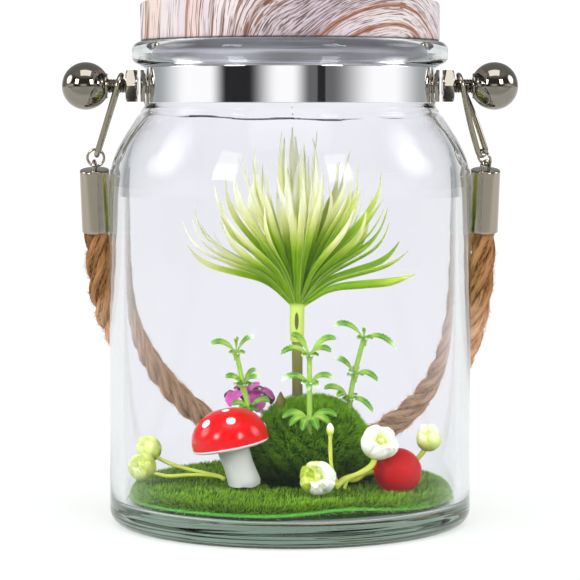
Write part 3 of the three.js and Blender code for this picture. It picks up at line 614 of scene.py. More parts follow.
# The rope's route, in metres: up into both ferrules, and one hanging loop round the back of the jar
ROPE_ROUTE = [
    (-0.05425, 0.00565, 0.0900), (-0.05405, 0.0076, 0.0800), (-0.0537, 0.0099, 0.0700),
    (-0.0527, 0.0136, 0.0605), (-0.0504, 0.0205, 0.0520), (-0.0462, 0.0288, 0.0435),
    (-0.0396, 0.0374, 0.0345), (-0.0308, 0.0449, 0.0256), (-0.0202, 0.0506, 0.0176),
    (-0.0086, 0.0538, 0.0120), (0.0036, 0.0544, 0.0100), (0.0156, 0.0522, 0.0120),
    (0.0270, 0.0473, 0.0175), (0.0370, 0.0399, 0.0250), (0.0448, 0.0309, 0.0340),
    (0.0498, 0.0219, 0.0445), (0.0526, 0.0141, 0.0560), (0.0537, 0.0099, 0.0685),
    (0.05405, 0.0076, 0.0800), (0.05425, 0.00565, 0.0900),
]
STRANDS, STRAND_SIDES = 3, 20
YARNS = 5
ROPE_STEPS = 460
# Loose fibres: their length and width, how far they lie along the strand, and the steps at each end
# of the rope, inside the end cups, that have none
FUZZ_LONG, FUZZ_WIDE, FUZZ_LIE, FUZZ_CLEAR = 2.5, 0.08, 1.9, 28


def jute(light, dark):
    """Twisted jute: long fibres that follow the strand, dark in the grooves and between the strands, a
    painted shade, with pale stray ones. The low loop behind the garden is painted paler, a painted light
    standing in for light that the glass keeps from it."""
    paint = Paint("jute")
    lay = paint.field("lay", vector=True)
    fine = paint.noise(lay, 3.0, 3.0, stretch=(1, 1, 0.13), roughness=0.65)
    coarse = paint.noise(lay, 1.5, 3.0, stretch=(1, 1, 0.12))
    depth = paint.field("groove")
    # depth is painted shade: low in the yarn dips and on the strands' inner sides
    shade = (fine + 0.25 * coarse + 0.35 * depth - 0.33).within(0.2, 0.72)
    tint = paint.ramp(shade, (0.0, dark), (0.38, between(dark, light, 0.5)), (0.72, light),
                      (1.0, ink(174, 130, 86)))
    # Painted light: below 52 to 64 mm the rope turns paler, standing in for light that the glass keeps
    # from the low loop
    z = paint.axis(paint.place(), 2)
    tint = paint.mix((0.2 + 0.65 * shade) * (1 - z.within(52.0, 64.0)), tint, ink(232, 186, 152))
    rough = paint.bump(fine + 0.6 * coarse, 0.5, 1.0)
    return paint.finish(Base_Color=tint, Roughness=0.9, Specular_IOR_Level=0.1, Normal=rough)


def rope_shell(radius, lay_length, yarn_length, fuzz):
    """Three strands round the route, each a helix of one turn for each lay length. A strand's radius
    dips between its yarns, which twist along it, by 0.02 of |sin|^0.6, and wobbles by 0.03. Loose
    fibres lie along it, both ways, and none between the strands."""
    path = smooth(np.array(ROPE_ROUTE) / MM, ROPE_STEPS)
    run = run_of(path)
    square = np.cross(path[-1] - path[0], path[len(path) // 2] - path[0])
    _, normal, binormal = axes_along(path, square)
    strand_r = 0.56 * radius
    turn = TAU * (run[None, :] / lay_length + np.arange(STRANDS)[:, None] / STRANDS)
    offset = np.cos(turn)[..., None] * normal + np.sin(turn)[..., None] * binormal
    centres = path + (radius - strand_r) * offset
    tangent, out, beside = axes_along(centres, offset)
    angle = circle(STRAND_SIDES)
    spiral = angle[None, None, :] + TAU * run[None, :, None] / yarn_length
    groove = np.abs(np.sin(YARNS * spiral / 2))
    wobble = 0.03 * np.sin(3 * angle[None, None, :] + 0.9 * run[None, :, None])
    r = strand_r * (0.98 + 0.02 * groove ** 0.6 + wobble)
    ring = around(angle, out, beside)
    points = centres[..., None, :] + r[..., None] * ring
    outward = 0.5 + 0.5 * np.cos(angle)[None, None, :]
    lay = np.stack(np.broadcast_arrays(
        strand_r * np.cos(spiral) + 9 * np.arange(STRANDS)[:, None, None],
        strand_r * np.sin(spiral),
        run[None, :, None],
    ), -1)
    # groove carries painted shade for the colour: low in the yarn dips and on each strand's inner side
    strands = tubes(points, groove=groove * outward, lay=lay)
    rng = np.random.default_rng(11)
    pick = (rng.integers(0, STRANDS, fuzz),
            rng.integers(FUZZ_CLEAR, ROPE_STEPS - FUZZ_CLEAR, fuzz),
            rng.integers(0, STRAND_SIDES, fuzz))
    keep = np.cos(angle)[pick[2]] > -0.3
    pick = tuple(index[keep] for index in pick)
    lie = FUZZ_LIE * tangent[pick[0], pick[1]] * rng.choice([-1, 1], keep.sum())[:, None]
    stray = fibres(points[pick], ring[pick] + lie, FUZZ_LONG, FUZZ_WIDE, 0.35, rng)
    stray.values = {
        "groove": 0.75 + 0.5 * stray.value("tone"),
        "lay": np.repeat(lay[pick], 4, 0),
    }
    return strands + stray, path * MM, run[-1] * MM


def ferrule(top, end, axis, wide):
    """An end cup spun round its axis, with a half round loop on top that opens along wide."""
    reach = np.linalg.norm(end - top)
    lip, fillet = 0.2, 0.1
    cup = lathe(np.concatenate([
        [[0, 0]],
        arc(FERRULE_R - 0.5, -0.5, 0.5, 90, 0, 5),
        [[FERRULE_R, -1.6], [FERRULE_R, -0.5 * reach], [FERRULE_R, 1 - reach]],
        arc(FERRULE_R - lip, lip - reach, lip, 0, -90, 3),
        arc(FERRULE_BORE + fillet, fillet - reach, fillet, 270, 180, 2),
        [[FERRULE_BORE, 1 - reach], [FERRULE_BORE, -FERRULE_ROOF - 0.2], [0, -FERRULE_ROOF]],
    ]), 64)
    spin = unit(np.cross([0, 1, 0], -axis))
    cup = cup.turned(np.stack([spin, np.cross(-axis, spin), -axis], -1)).moved(top)
    arch = np.linspace(0, math.pi, 25)[:, None]
    crown = top - (LOOP_LEG + LOOP_R * np.sin(arch)) * axis + LOOP_R * np.cos(arch) * wide
    foot = top + 0.7 * axis
    loop = np.concatenate([[foot + LOOP_R * wide], crown, [foot - LOOP_R * wide]])
    return cup + rod(loop, LOOP_WIRE, 10, np.cross(axis, wide))


def hang(side, name):
    """Hook, ring and ferrule of one side: the hook is a closed wire loop that narrows from the stud
    to its tail and turns as it drops, and the ring links it to the loop on the ferrule."""
    mirror = np.array([side, 1, 1])
    top, end = FERRULE_TOP * mirror, FERRULE_END * mirror
    axis = unit(end - top)
    loop_top = top - (LOOP_R + LOOP_LEG) * axis
    pull = unit(np.array([side * 0.45, 0.19, -1]))
    span = 2 * RING_R - HOOK_WIRE - LOOP_WIRE - 2 * RING_WIRE - 2 * GAP
    tail = loop_top - span * pull
    eye = np.array([side * HOOK_X, 0, STUD_Z])
    drop = tail - eye
    down = unit(drop)
    length = np.linalg.norm(drop) - HOOK_TAIL_R
    across = unit(np.array([0, 1, 0]) - down[1] * down)
    third = np.cross(down, across)

    def aside(share):
        """Across the hook, turned by a share of its twist."""
        twist = TAIL_TWIST[name] * np.asarray(share, float)[..., None]
        return np.cos(twist) * across + np.sin(twist) * third

    s = np.linspace(0, 1, 24)
    half = HOOK_EYE_R + (HOOK_TAIL_R - HOOK_EYE_R) * s ** 0.7
    leg = eye + (s * length)[:, None] * down
    near = leg + half[:, None] * aside(s)
    far = leg - half[:, None] * aside(s)
    bend = np.linspace(0, math.pi, 12)[1:-1, None]
    foot = (eye + (length + HOOK_TAIL_R * np.sin(bend)) * down
            + HOOK_TAIL_R * np.cos(bend) * aside(np.ones(10)))
    head = eye - HOOK_EYE_R * (np.sin(bend) * down + np.cos(bend) * aside(np.zeros(10)))
    route = np.concatenate([near, foot, far[::-1], head])
    hook = closed_wire(route, HOOK_WIRE, 12, third + 0.2 * down)

    last = aside(np.ones(1))[0]
    ring_axis = unit(last - (last @ pull) * pull)
    centre = tail + (RING_R - RING_WIRE - GAP - HOOK_WIRE) * pull
    link = centre + RING_R * around(circle(40), pull, np.cross(ring_axis, pull))
    ring = closed_wire(link, RING_WIRE, 10, ring_axis)
    return hook, ring, ferrule(top, end, axis, unit(last - (last @ axis) * axis))


class JAR_OT_handle(Operator):
    """Lays the rope and hangs it on its hooks, rings and end cups"""

    bl_idname = "jar.handle"
    bl_label = "Handle"

    def execute(self, context):
        look = context.scene.jar_handle
        shell, path, length = rope_shell(look.rope_radius / MM, look.lay_length / MM,
                                         look.yarn_length / MM, look.fuzz)
        rope = build("twisted_rope", shell, jute(look.jute_light, look.jute_dark), SWINGS, "rope")
        fitting = polished("fittings", look.fittings, 0.07)
        for side, name in SIDES:
            hook, ring, cup = hang(side, name)
            build(f"wire_hook_{name}", hook, fitting, SWINGS, f"hook_{name}")
            build(f"link_ring_{name}", ring, fitting, SWINGS, f"jump_ring_{name}")
            build(f"end_cup_{name}", cup, fitting, SWINGS, f"ferrule_{name}")
        return {"FINISHED"}


# Glass jar and its seal
JAR_TURNS = 160
COLLAR, RIM_LOW = 115.0, 126.2
SEAL_IN, SEAL_OUT, SEAL_LOW, SEAL_HIGH = 36.7, 37.9, 122.5, 131.4


def jar_section(look):
    """Half of the jar's section, in (radius, height) pairs: a flat foot with a shallow hollow, a
    straight wall, a shoulder on a cubic curve, a rolled rim, and the same way back inside."""
    body, wall, floor = look.body_radius / MM, look.wall / MM, look.floor_height / MM
    shoulder, neck, mouth = look.shoulder_height / MM, look.neck_radius / MM, look.mouth_radius / MM
    rim, top = look.rim_radius / MM, look.rim_top / MM
    inner = body - wall
    foot, heel, roll, lip = 4.0, 1.2, 2.4, 1.2
    outer_curve = bezier([[body, shoulder - 2], [body, shoulder + 6.5], [body - 3.8, shoulder + 11],
                          [neck, COLLAR]], 18)
    inner_curve = bezier([[mouth, COLLAR - 1.5], [inner - 2.5, shoulder + 9.5],
                          [inner, shoulder + 5.5], [inner, shoulder - 5]], 56)
    outside = np.concatenate([np.linspace(foot + 0.25, foot + 6, 26),
                              np.linspace(foot + 8, shoulder - 4, 12)])
    inside = np.linspace(shoulder - 7, floor + heel + 2, 12)
    return np.concatenate([
        [[0, 1.2], [15, 1.2], [28, 1.2], [30.5, 1.0], [32.5, 0.3]],
        [[34, 0.0], [40, 0.0]],
        arc(body - foot, foot, foot, -90, 0, 30),
        np.stack([np.full(len(outside), body), outside], -1),
        outer_curve,
        [[neck, 117], [neck, 121], [neck, RIM_LOW - 0.8]],
        arc(rim - roll, RIM_LOW + roll, roll, -80, 0, 6),
        arc(rim - roll, top - roll, roll, 0, 90, 6),
        arc(mouth + lip, top - lip, lip, 90, 180, 5),
        [[mouth, top - 6], [mouth, COLLAR + 4], [mouth, COLLAR + 1], [mouth, COLLAR - 0.9]],
        inner_curve,
        np.stack([np.full(len(inside), inner), inside], -1),
        arc(inner - heel, floor + heel, heel, 0, -90, 7),
        [[38, floor], [30, floor], [18, floor], [8, floor], [0, floor]],
    ])


def jar_shell(look):
    """The section spun round, and made uneven as blown glass is. Radii wander by a tenth of a
    millimetre on slow sines. The foot's outside has streaks, a sine of the height that sines of the
    angle bend and fade. A wavering ridge, a bell of 0.36 mm that is strongest in front, runs round
    the inside below the neck, and the floor ripples."""
    profile = jar_section(look)
    floor = look.floor_height / MM
    grid = spun(profile[1:-1], JAR_TURNS)
    angle = circle(JAR_TURNS)[None, :]
    height = grid[..., 2]
    radius = profile[1:-1, :1]
    is_inside = (np.arange(len(radius)) > len(radius) // 2)[:, None]
    free = step(3.0, 12.0, height) * step(126.0, 112.0, height)
    low = step(0.3, 1.5, height) * step(9.5, 7.0, height)
    wander = 0.06 * np.sin(2 * angle + 0.05 * height) + 0.02 * np.sin(5 * angle - 0.08 * height + 2)
    inward = is_inside * (wander - 0.12) * free - (~is_inside) * (np.abs(wander) + 0.02) * free
    streak = np.sin(6.2 * height + 2.6 * np.sin(2 * angle) + 1.6 * np.sin(5 * angle + 1))
    streak = streak * (0.5 + 0.5 * np.sin(7 * angle + 1.9 * height))
    hollow = 0.011 * (1 + streak) * low * ~is_inside
    ridge_at = COLLAR - 3.3 + 0.5 * np.sin(2 * angle + 1) + 0.22 * np.sin(11 * angle)
    ridge = 0.36 * np.exp(-((height - ridge_at) / 0.62) ** 2) * is_inside
    ridge = ridge * (1 + 0.2 * np.sin(5 * angle) * np.sin(8 * angle + 1))
    ridge = ridge * (0.3 + 0.7 * np.sin(angle) ** 2)
    for change in (inward, -hollow, -ridge):
        grid[..., :2] *= (1 + change / np.maximum(radius, 1))[..., None]
    ripple = is_inside * (height < floor + 0.01) * 0.22 * np.sin(0.55 * radius + 1.3 * np.sin(2 * angle))
    grid[..., 2] += np.minimum(ripple, 0)
    return solid_of(grid, profile[0, 1], profile[-1, 1])


def silicone():
    """Clear grey silicone: streaked round, and darker where it meets the lid, a painted shade."""
    paint = Paint("silicone")
    where = paint.place()
    streak = paint.noise(where, 60.0, 4.0, stretch=(0.5, 0.5, 16))
    tint = paint.mix(streak.within(0.35, 0.65), ink(98, 96, 100), ink(156, 154, 162))
    # Painted shade: the seal darkens towards its top, where the lid sits on it
    tint = paint.mix(0.8 * paint.axis(where, 2).within(129.0, 130.6), tint, ink(72, 72, 75))
    return paint.finish(Base_Color=tint, Roughness=0.35 + 0.1 * streak, Specular_IOR_Level=0.3)


class JAR_OT_glass(Operator):
    """Builds the glass jar and the clear ring that seals its lid"""

    bl_idname = "jar.glass"
    bl_label = "Glass"

    def execute(self, context):
        look = context.scene.jar_glass
        build("glass_jar", jar_shell(look), clear_glass(look.tint), STILL, "jar", sharp=60)
        section = spun(box_section(SEAL_IN, SEAL_OUT, SEAL_LOW, SEAL_HIGH, 0.3))
        build("clear_seal", hoop(section), silicone(), STILL, "seal_ring")
        return {"FINISHED"}


# Printed lid. The heart of its grain is a place in x and z, below the lid's front on the right. Bold
# rings have a distance from the heart, a half width and a strength.
GRAIN_HEART = (24.8, 113.6)
BOLD_RINGS = [(22.6, 1.0, 1.0), (27.7, 0.7, 1.0), (39.8, 0.7, 0.7), (42.2, 0.3, 0.8), (44.5, 0.4, 0.7),
              (46.7, 0.25, 0.7), (51.5, 0.4, 0.9), (60.4, 0.4, 0.5)]


def printed_wood(look):
    """Whitewashed grain: growth rings round a heart below the lid's front, on the right. The distance f
    from the heart, with x squeezed to the right of it and z flattened far from it, gives the rings,
    and the angle round the heart the way along the fine broken lines. A busy patch has more lines on
    a greyer ground, and two outer gaps between bold rings have a rosy one."""
    paint = Paint("printed_wood")
    where = paint.place()
    x = paint.axis(where, 0)
    y = paint.axis(where, 1)
    z = paint.axis(where, 2)
    warp = paint.noise(where, 60.0, 2.0) - 0.5
    across = x - GRAIN_HEART[0] + 0.12 * y + 1.2 * warp
    right = across.math("MAXIMUM", 0.0)
    left = across.math("MINIMUM", 0.0)
    flat = 0.92 * left + 1.65 * right
    tall = (1.0 - 0.7 * flat.math("ABSOLUTE").within(22.0, 52.0)) * (z - GRAIN_HEART[1])
    f = (flat * flat + tall * tall).math("SQRT")
    way = tall.math("ARCTAN2", flat)
    streak_at = paint.add("CombineXYZ", None, 3.2 * f, 0.1 * f * way + way, 0.03 * y)
    streak = paint.noise(streak_at, 1.0, 2.0)
    hair_at = paint.add("CombineXYZ", None, 4.6 * f, 0.2 * f * way + way, 0.05 * y)
    hair = paint.noise(hair_at, 1.0, 2.0)
    near, core = 0.0, 0.0
    for ring, half, strength in BOLD_RINGS:
        off = (f - ring + (streak - 0.5)).math("ABSOLUTE")
        near = near + strength * (1 - (off / (3.2 * half)).within(0.2, 1.0))
        core = core + strength * (1 - (off / half).within(0.15, 0.9))
    busy = f.within(24.0, 30.0) * (1 - f.within(37.0, 45.0)) * (1 - right.within(0.0, 6.0))
    dense = 0.065 * busy - 0.03 * f.within(46.0, 58.0)
    fine = (streak + dense + 0.04 * near).within(0.56, 0.61) * (0.25 + 0.75 * hair.within(0.4, 0.5))
    fine = (fine + 0.8 * (hair + dense).within(0.58, 0.63)).at_most(1.0)
    brown = paint.mix(near.at_most(1.0), look.line, look.bold)
    patch = paint.noise(where, 35.0, 2.0)
    tint = paint.mix(patch.within(0.35, 0.65), look.whitewash, ink(198, 184, 196))
    tint = paint.mix(0.6 * busy, tint, ink(186, 170, 178))
    warm = f.within(47.5, 49.0) * (1 - f.within(51.5, 52.0))
    warm = warm + f.within(57.0, 58.0) * (1 - f.within(60.4, 61.0))
    tint = paint.mix(0.45 * warm, tint, ink(226, 192, 174))
    tint = paint.mix(0.85 * fine, tint, brown)
    dark = 0.7 * f.within(34.0, 38.0) * (1 - f.within(48.0, 50.0))
    bold = core.at_most(1.0) * (0.7 + 0.3 * hair.within(0.36, 0.56))
    tint = paint.mix(bold, tint, paint.mix(dark, look.bold, look.line))
    tint = paint.mix(z.within(132.6, 133.0), ink(140, 134, 142), tint)
    return paint.finish(Base_Color=tint, Roughness=0.45 + 0.15 * fine, Specular_IOR_Level=0.2,
                        Normal=paint.bump(fine, 0.08, 0.5))


def lid_shell(look):
    """The lid's section spun round: a plug with rounded ends, and a thick disc with an eased edge."""
    radius, top = look.radius / MM, look.top / MM
    under, plug, plug_low, edge = 132.9, 36.4, 120.5, 1.0
    return lathe(np.concatenate([
        [[0, plug_low], [20, plug_low], [plug - 1.4, plug_low]],
        arc(plug - 1, plug_low + 1, 1, -90, 0, 4),
        [[plug, plug_low + 2], [plug, under - 0.4], [plug + 0.4, under], [radius - 0.6, under]],
        arc(radius - 0.4, under + 0.4, 0.4, -90, 0, 3),
        [[radius, under + 2], [radius, top - edge - 1]],
        arc(radius - edge, top - edge, edge, 0, 90, 6),
        [[radius - 2.5, top], [20, top], [0, top]],
    ]), 144)


class JAR_OT_lid(Operator):
    """Builds the printed lid with its plug"""

    bl_idname = "jar.lid"
    bl_label = "Lid"

    def execute(self, context):
        look = context.scene.jar_lid
        build("printed_lid", lid_shell(look), printed_wood(look), STILL, "stopper",
              sharp=70)
        return {"FINISHED"}


# Band, studs, nuts and knobs
BAND_TURNS, PLATE_OUT = 256, 0.42
STUD_TURNS, THREAD_PITCH = 36, 0.7
NUT_TURNS, NUT_BORE = 144, STUD_R + 0.3


def along_x(shell, side, at=0.0):
    """A piece made along Z, laid along X on one side, at a distance from the jar's axis."""
    turn = [[0, 0, side], [0, 1, 0], [-side, 0, 0]]
    return shell.turned(turn).moved([side * at, 0, STUD_Z])


def band_shell():
    """A polished strap: two long front and back plates that lap over the short side plates, less
    than half a millimetre further out, with eased edges."""
    section = box_section(40.5, BAND_OUT, BAND_LOW, BAND_HIGH, 0.12)
    grid = spun(section, BAND_TURNS)
    radius = section[:, :1]
    plate = step(0.405, 0.42, np.abs(np.sin(circle(BAND_TURNS)[None, :])))
    shrink = PLATE_OUT * (radius > 41) * (1 - plate)
    grid[..., :2] *= ((radius - shrink) / radius)[..., None]
    return hoop(grid)


def stud_shell():
    """A rod with a rolled thread: the radius is a rounded saw of turn plus height over pitch."""
    height = np.linspace(NUT_AT, KNOB_X - KNOB_R + 4.3, 190)[:, None]
    angle = circle(STUD_TURNS)[None, :]
    phase = (angle / TAU + height / THREAD_PITCH) % 1
    ends = step(0, 0.6, height - height[0]) * step(0, 0.6, height[-1] - height)
    radius = 1.72 + 0.28 * (1 - np.abs(2 * phase - 1)) * ends
    return solid_of(polar(radius, angle, height), height[0, 0], height[-1, 0])


def nut_shell():
    """A hex nut: across a flat the radius is flat / cos, and each end face is cut back by a cone."""
    angle = circle(NUT_TURNS)
    flats = np.abs((angle + math.pi / 6) % (TAU / 6) - math.pi / 6)
    hexagon = NUT_FLAT / np.cos(flats)
    depth = np.array([0, 0, 0.25, 0.5, 0.8, NUT_T - 0.8, NUT_T - 0.5, NUT_T - 0.25, NUT_T, NUT_T])
    cone = NUT_FLAT - 0.15 + 1.7 * np.minimum(depth, NUT_T - depth)
    outer = np.minimum(hexagon[None, :], cone[:, None])
    outer[[0, -1]] = NUT_BORE + 0.4
    radius = np.concatenate([outer, np.full((2, NUT_TURNS), NUT_BORE)])
    height = np.concatenate([depth, [NUT_T - 0.3, 0.3]])
    return hoop(polar(radius, angle, height[:, None]))


def knob_shell():
    """A ball with a short neck towards the nut, bored for the stud."""
    neck = STUD_R + 1.5
    face = -math.sqrt(KNOB_R ** 2 - neck ** 2)
    start = math.degrees(math.asin(face / KNOB_R))
    bore = STUD_R + 0.3
    return lathe(np.concatenate([
        [[0, face + 4.1], [bore - 0.3, face + 4.1], [bore, face + 3.8], [bore, face - 0.2]],
        [[bore + 0.2, face - 0.5], [neck - 0.2, face - 0.5], [neck, face - 0.2]],
        arc(0, 0, KNOB_R, start, 89, 36),
        [[0, KNOB_R]],
    ]), 72)


class JAR_OT_band(Operator):
    """Builds the steel band with its studs, nuts and ball knobs"""

    bl_idname = "jar.band"
    bl_label = "Band and knobs"

    def execute(self, context):
        look = context.scene.jar_handle
        steel = polished("polished_steel", ink(246, 246, 248), 0.03)
        nickel = polished("knob_nickel", look.nickel, 0.03)
        build("steel_band", band_shell(), steel, STILL, "neck_band", sharp=35)
        for side, name in SIDES:
            build(f"threaded_stud_{name}", along_x(stud_shell(), side), nickel, STILL,
                  f"stud_{name}")
            build(f"hex_nut_{name}", along_x(nut_shell(), side, NUT_AT), nickel, STILL,
                  f"nut_{name}", sharp=25)
            build(f"ball_knob_{name}", along_x(knob_shell(), side, KNOB_X), nickel, STILL,
                  f"knob_{name}")
        return {"FINISHED"}


# Ground
TURF_R, TURF_LOW, TURF_TOP = 44.6, 6.8, 12.0
FOLD_AT, FOLD_RISE, FOLD_WIDTH = -1.24, 1.5, 0.3
MOUND_X, MOUND_Y, MOUND_R, MOUND_FOOT, MOUND_TOP = 5.9, 3.0, 18.8, 12.3, 35.0
# The felt's section: share of the mat's radius, and height over its underside
FELT_ROWS = np.array([[0.9, 0.0], [0.985, 0.0], [0.992, 0.1], [0.995, 0.9], [1, 1.3], [1, 1.6],
                      [0.995, 1.85], [0.97, 1.95], [0.9, 1.95]])


def lumps(x, y, span):
    """Slow crossed sines, about -1.6 to 1.6, with waves of a few spans."""
    a, b = x / span, y / span
    return (np.sin(1.7 * a + 0.6 * b) * np.sin(1.9 * b - 0.5 * a + 1)
            + 0.6 * np.sin(3.1 * a - 1.3 * b + 2) * np.sin(2.7 * b + 1.1 * a))


def turf_edge(angle):
    """Radius of the hand-cut mat: a circle with two sines of the angle."""
    return TURF_R + 0.3 * np.sin(3 * angle + 1) + 0.2 * np.sin(7 * angle)


def fold(angle):
    """How far the mat's edge lifts where it ripples at the front: a bell of the angle."""
    turn = (angle - FOLD_AT + math.pi) % TAU - math.pi
    return FOLD_RISE * np.exp(-(turn / FOLD_WIDTH) ** 2)


def turf_point(share, angle, pile):
    """Roots of the mat: flat with soft lumps, rounded over at the rim. share runs from 0 at the centre
    to 1 at the rim's top and 1.35 down its side."""
    edge = turf_edge(angle)
    round_r = 1.9
    over = np.clip((share - 0.94) / 0.41, 0, 1) * math.pi / 2
    flat = np.minimum(share, 0.94) / 0.94 * (edge - round_r - 0.5 * pile)
    radius = flat + round_r * np.sin(over)
    x, y = radius * np.cos(angle), radius * np.sin(angle)
    lift = fold(angle) * step(0.75, 1.0, share)
    lump = 0.28 * lumps(x, y, 2.6) * (share < 0.94)
    z = TURF_TOP - pile + lump - round_r * (1 - np.cos(over)) + lift * 0.6
    return np.stack([x, y, z], -1)


def mound_point(share, angle, pile):
    """Roots of the moss: a dome whose height falls as the root of 1 - t^2.5, with soft lumps. share
    runs from 0 at the top to 1 at the foot."""
    rise = share * math.pi / 2
    t = np.sin(rise) ** 0.9
    height = (MOUND_TOP - MOUND_FOOT - pile) * np.sqrt(np.maximum(1 - t ** 2.5, 0))
    radius = (MOUND_R - 0.8 * pile) * t
    x, y = MOUND_X + radius * np.cos(angle), MOUND_Y + radius * np.sin(angle)
    z = MOUND_FOOT + height
    bump = 0.5 * lumps(x + z, y - z, 2.4) * step(1.0, 0.9, share)
    away = np.stack([np.cos(angle) * np.sin(rise), np.sin(angle) * np.sin(rise), np.cos(rise)], -1)
    return np.stack([x, y, z], -1) + bump[..., None] * away


def scattered(surface, share, angle, pile):
    """Points on a surface of share and angle with their normals, from differences along both."""
    here = surface(share, angle, pile)
    out = surface(share + 0.004, angle, pile) - here
    turn = surface(share, angle + 0.02, pile) - here
    normal = unit(np.cross(out, turn))
    return here, normal * np.sign(normal[:, 2:] + 0.2)


def pile_material(name, root, tip, shaded_foot=None):
    """Fibres: dark at the foot and lit at the tip, a painted shade and light along each fibre, each in
    its own tone, with slow patches and small tufts between. shaded_foot gives the heights between which
    the whole mound goes from a dark painted shade to full colour."""
    paint = Paint(name)
    where = paint.place()
    along, tone = paint.field("along"), paint.field("tone")
    patch = paint.noise(where, 90.0, 3.0)
    tuft = paint.noise(where, 1000.0, 1.0)
    height = (0.65 * along + 0.6 * tone + 0.5 * (patch - 0.5) + 0.7 * (tuft - 0.5)).within(0.1, 1.15)
    tint = paint.ramp(height, (0.0, root), (0.5, between(root, tip, 0.38)), (1.0, tip))
    if shaded_foot:
        # Painted shade: the mound darkens towards its foot
        tint = paint.mix(paint.axis(where, 2).within(*shaded_foot), between(BLACK, root, 0.42), tint)
    return paint.finish(Base_Color=tint, Roughness=0.85, Specular_IOR_Level=0.1)


def mat_shell(pile, count, rng):
    """The mat's body and its fibres, combed a little to one side, with none under the mound."""
    share = np.concatenate([np.linspace(0.02, 0.9, 40), np.linspace(0.92, 1.35, 10)])[:, None]
    top = turf_point(*np.broadcast_arrays(share, circle(160)[None, :]), pile)
    under = 0.995 * top[-1]
    under[:, 2] = TURF_LOW + 0.4
    body = tubes(np.concatenate([top, under[None]])[None], tone=0.3)
    share = np.sqrt(rng.uniform(0, 1, count)) * 1.35
    roots, normals = scattered(turf_point, share, rng.uniform(0, TAU, count), pile)
    clear = np.hypot(roots[:, 0] - MOUND_X, roots[:, 1] - MOUND_Y) > MOUND_R - 1.5
    comb = np.array([0.25, -0.15, 0])
    return body + fibres(roots[clear], normals[clear] + comb, pile * 1.1, 0.24, 0.3, rng)


def felt_shell():
    """The backing: its section carried round the mat's edge, and lifted where the mat ripples."""
    angle = circle(200)
    share, rise = FELT_ROWS[:, :1], FELT_ROWS[:, 1:]
    height = TURF_LOW + rise + fold(angle) * step(0.6, 1.0, share)
    skin = polar(share * (turf_edge(angle) + 0.25), angle, height)
    return tubes(skin[None], along=rise[None])


def felt_material(rgb):
    """Bright felt with a fine nap, darker, near black, at its top edge under the fibres: a painted
    shade.
    """
    paint = Paint("mat_backing")
    nap = paint.noise(paint.place(), 1500.0, 3.0)
    tint = paint.mix(nap, rgb, between(BLACK, rgb, 0.6))
    # Painted shade: the felt's top edge, under the mat's fibres, goes near black
    tint = paint.mix(paint.field("along").within(1.0, 1.25), ink(8, 26, 10), tint)
    return paint.finish(Base_Color=tint, Roughness=0.8, Normal=paint.bump(nap, 0.15))


def moss_shell(pile, count, rng):
    """The mound's dome and its fibres, closer together at the foot and raised a little."""
    share = np.linspace(0.02, 1.0, 48)[:, None]
    dome = mound_point(*np.broadcast_arrays(share, circle(96)[None, :]), pile)
    share = 1 - np.abs(rng.uniform(0, 1, count) - rng.uniform(0, 0.25, count))
    roots, normals = scattered(mound_point, share, rng.uniform(0, TAU, count), pile)
    raised = normals + np.array([0, 0, 0.25])
    return tubes(dome[None], tone=0.2) + fibres(roots, raised, pile * 1.2, 0.14, 0.34, rng)


class JAR_OT_ground(Operator):
    """Builds the flocked mat, its backing and the moss mound"""

    bl_idname = "jar.ground"
    bl_label = "Mat and moss"

    def execute(self, context):
        look = context.scene.jar_garden
        grass = pile_material("grass_pile", look.grass_root, look.grass_tip)
        moss = pile_material("moss_pile", look.grass_root, ink(148, 206, 44), (11.0, 24.0))
        rng = np.random.default_rng(5)
        mat = mat_shell(look.turf_pile / MM, look.turf_count, rng)
        build("flocked_mat", mat, grass, STILL, "turf")
        build("mat_backing", felt_shell(), felt_material(look.backing), STILL, ())
        mound = moss_shell(look.moss_pile / MM, look.moss_count, rng)
        build("moss_dome", mound, moss, STILL, "moss_mound")
        return {"FINISHED"}


# Grass tuft
TUFT_X, TUFT_Y, HUB = 1.9, 3.0, 60.5
SOCKET_LOW, SOCKET_R, TUFT_STEM_R = 49.5, 2.1, 1.5
BLADES = 104
# The slot in the socket, painted dark as the shade in its recess: its middle and half its width and
# height
SLOT_X, SLOT_Z, SLOT_HALF, SLOT_TALL = TUFT_X - 0.1, 55.3, 0.62, 2.6
STEM_FOOT, STEM_TOP = 21.0, SOCKET_LOW + 5


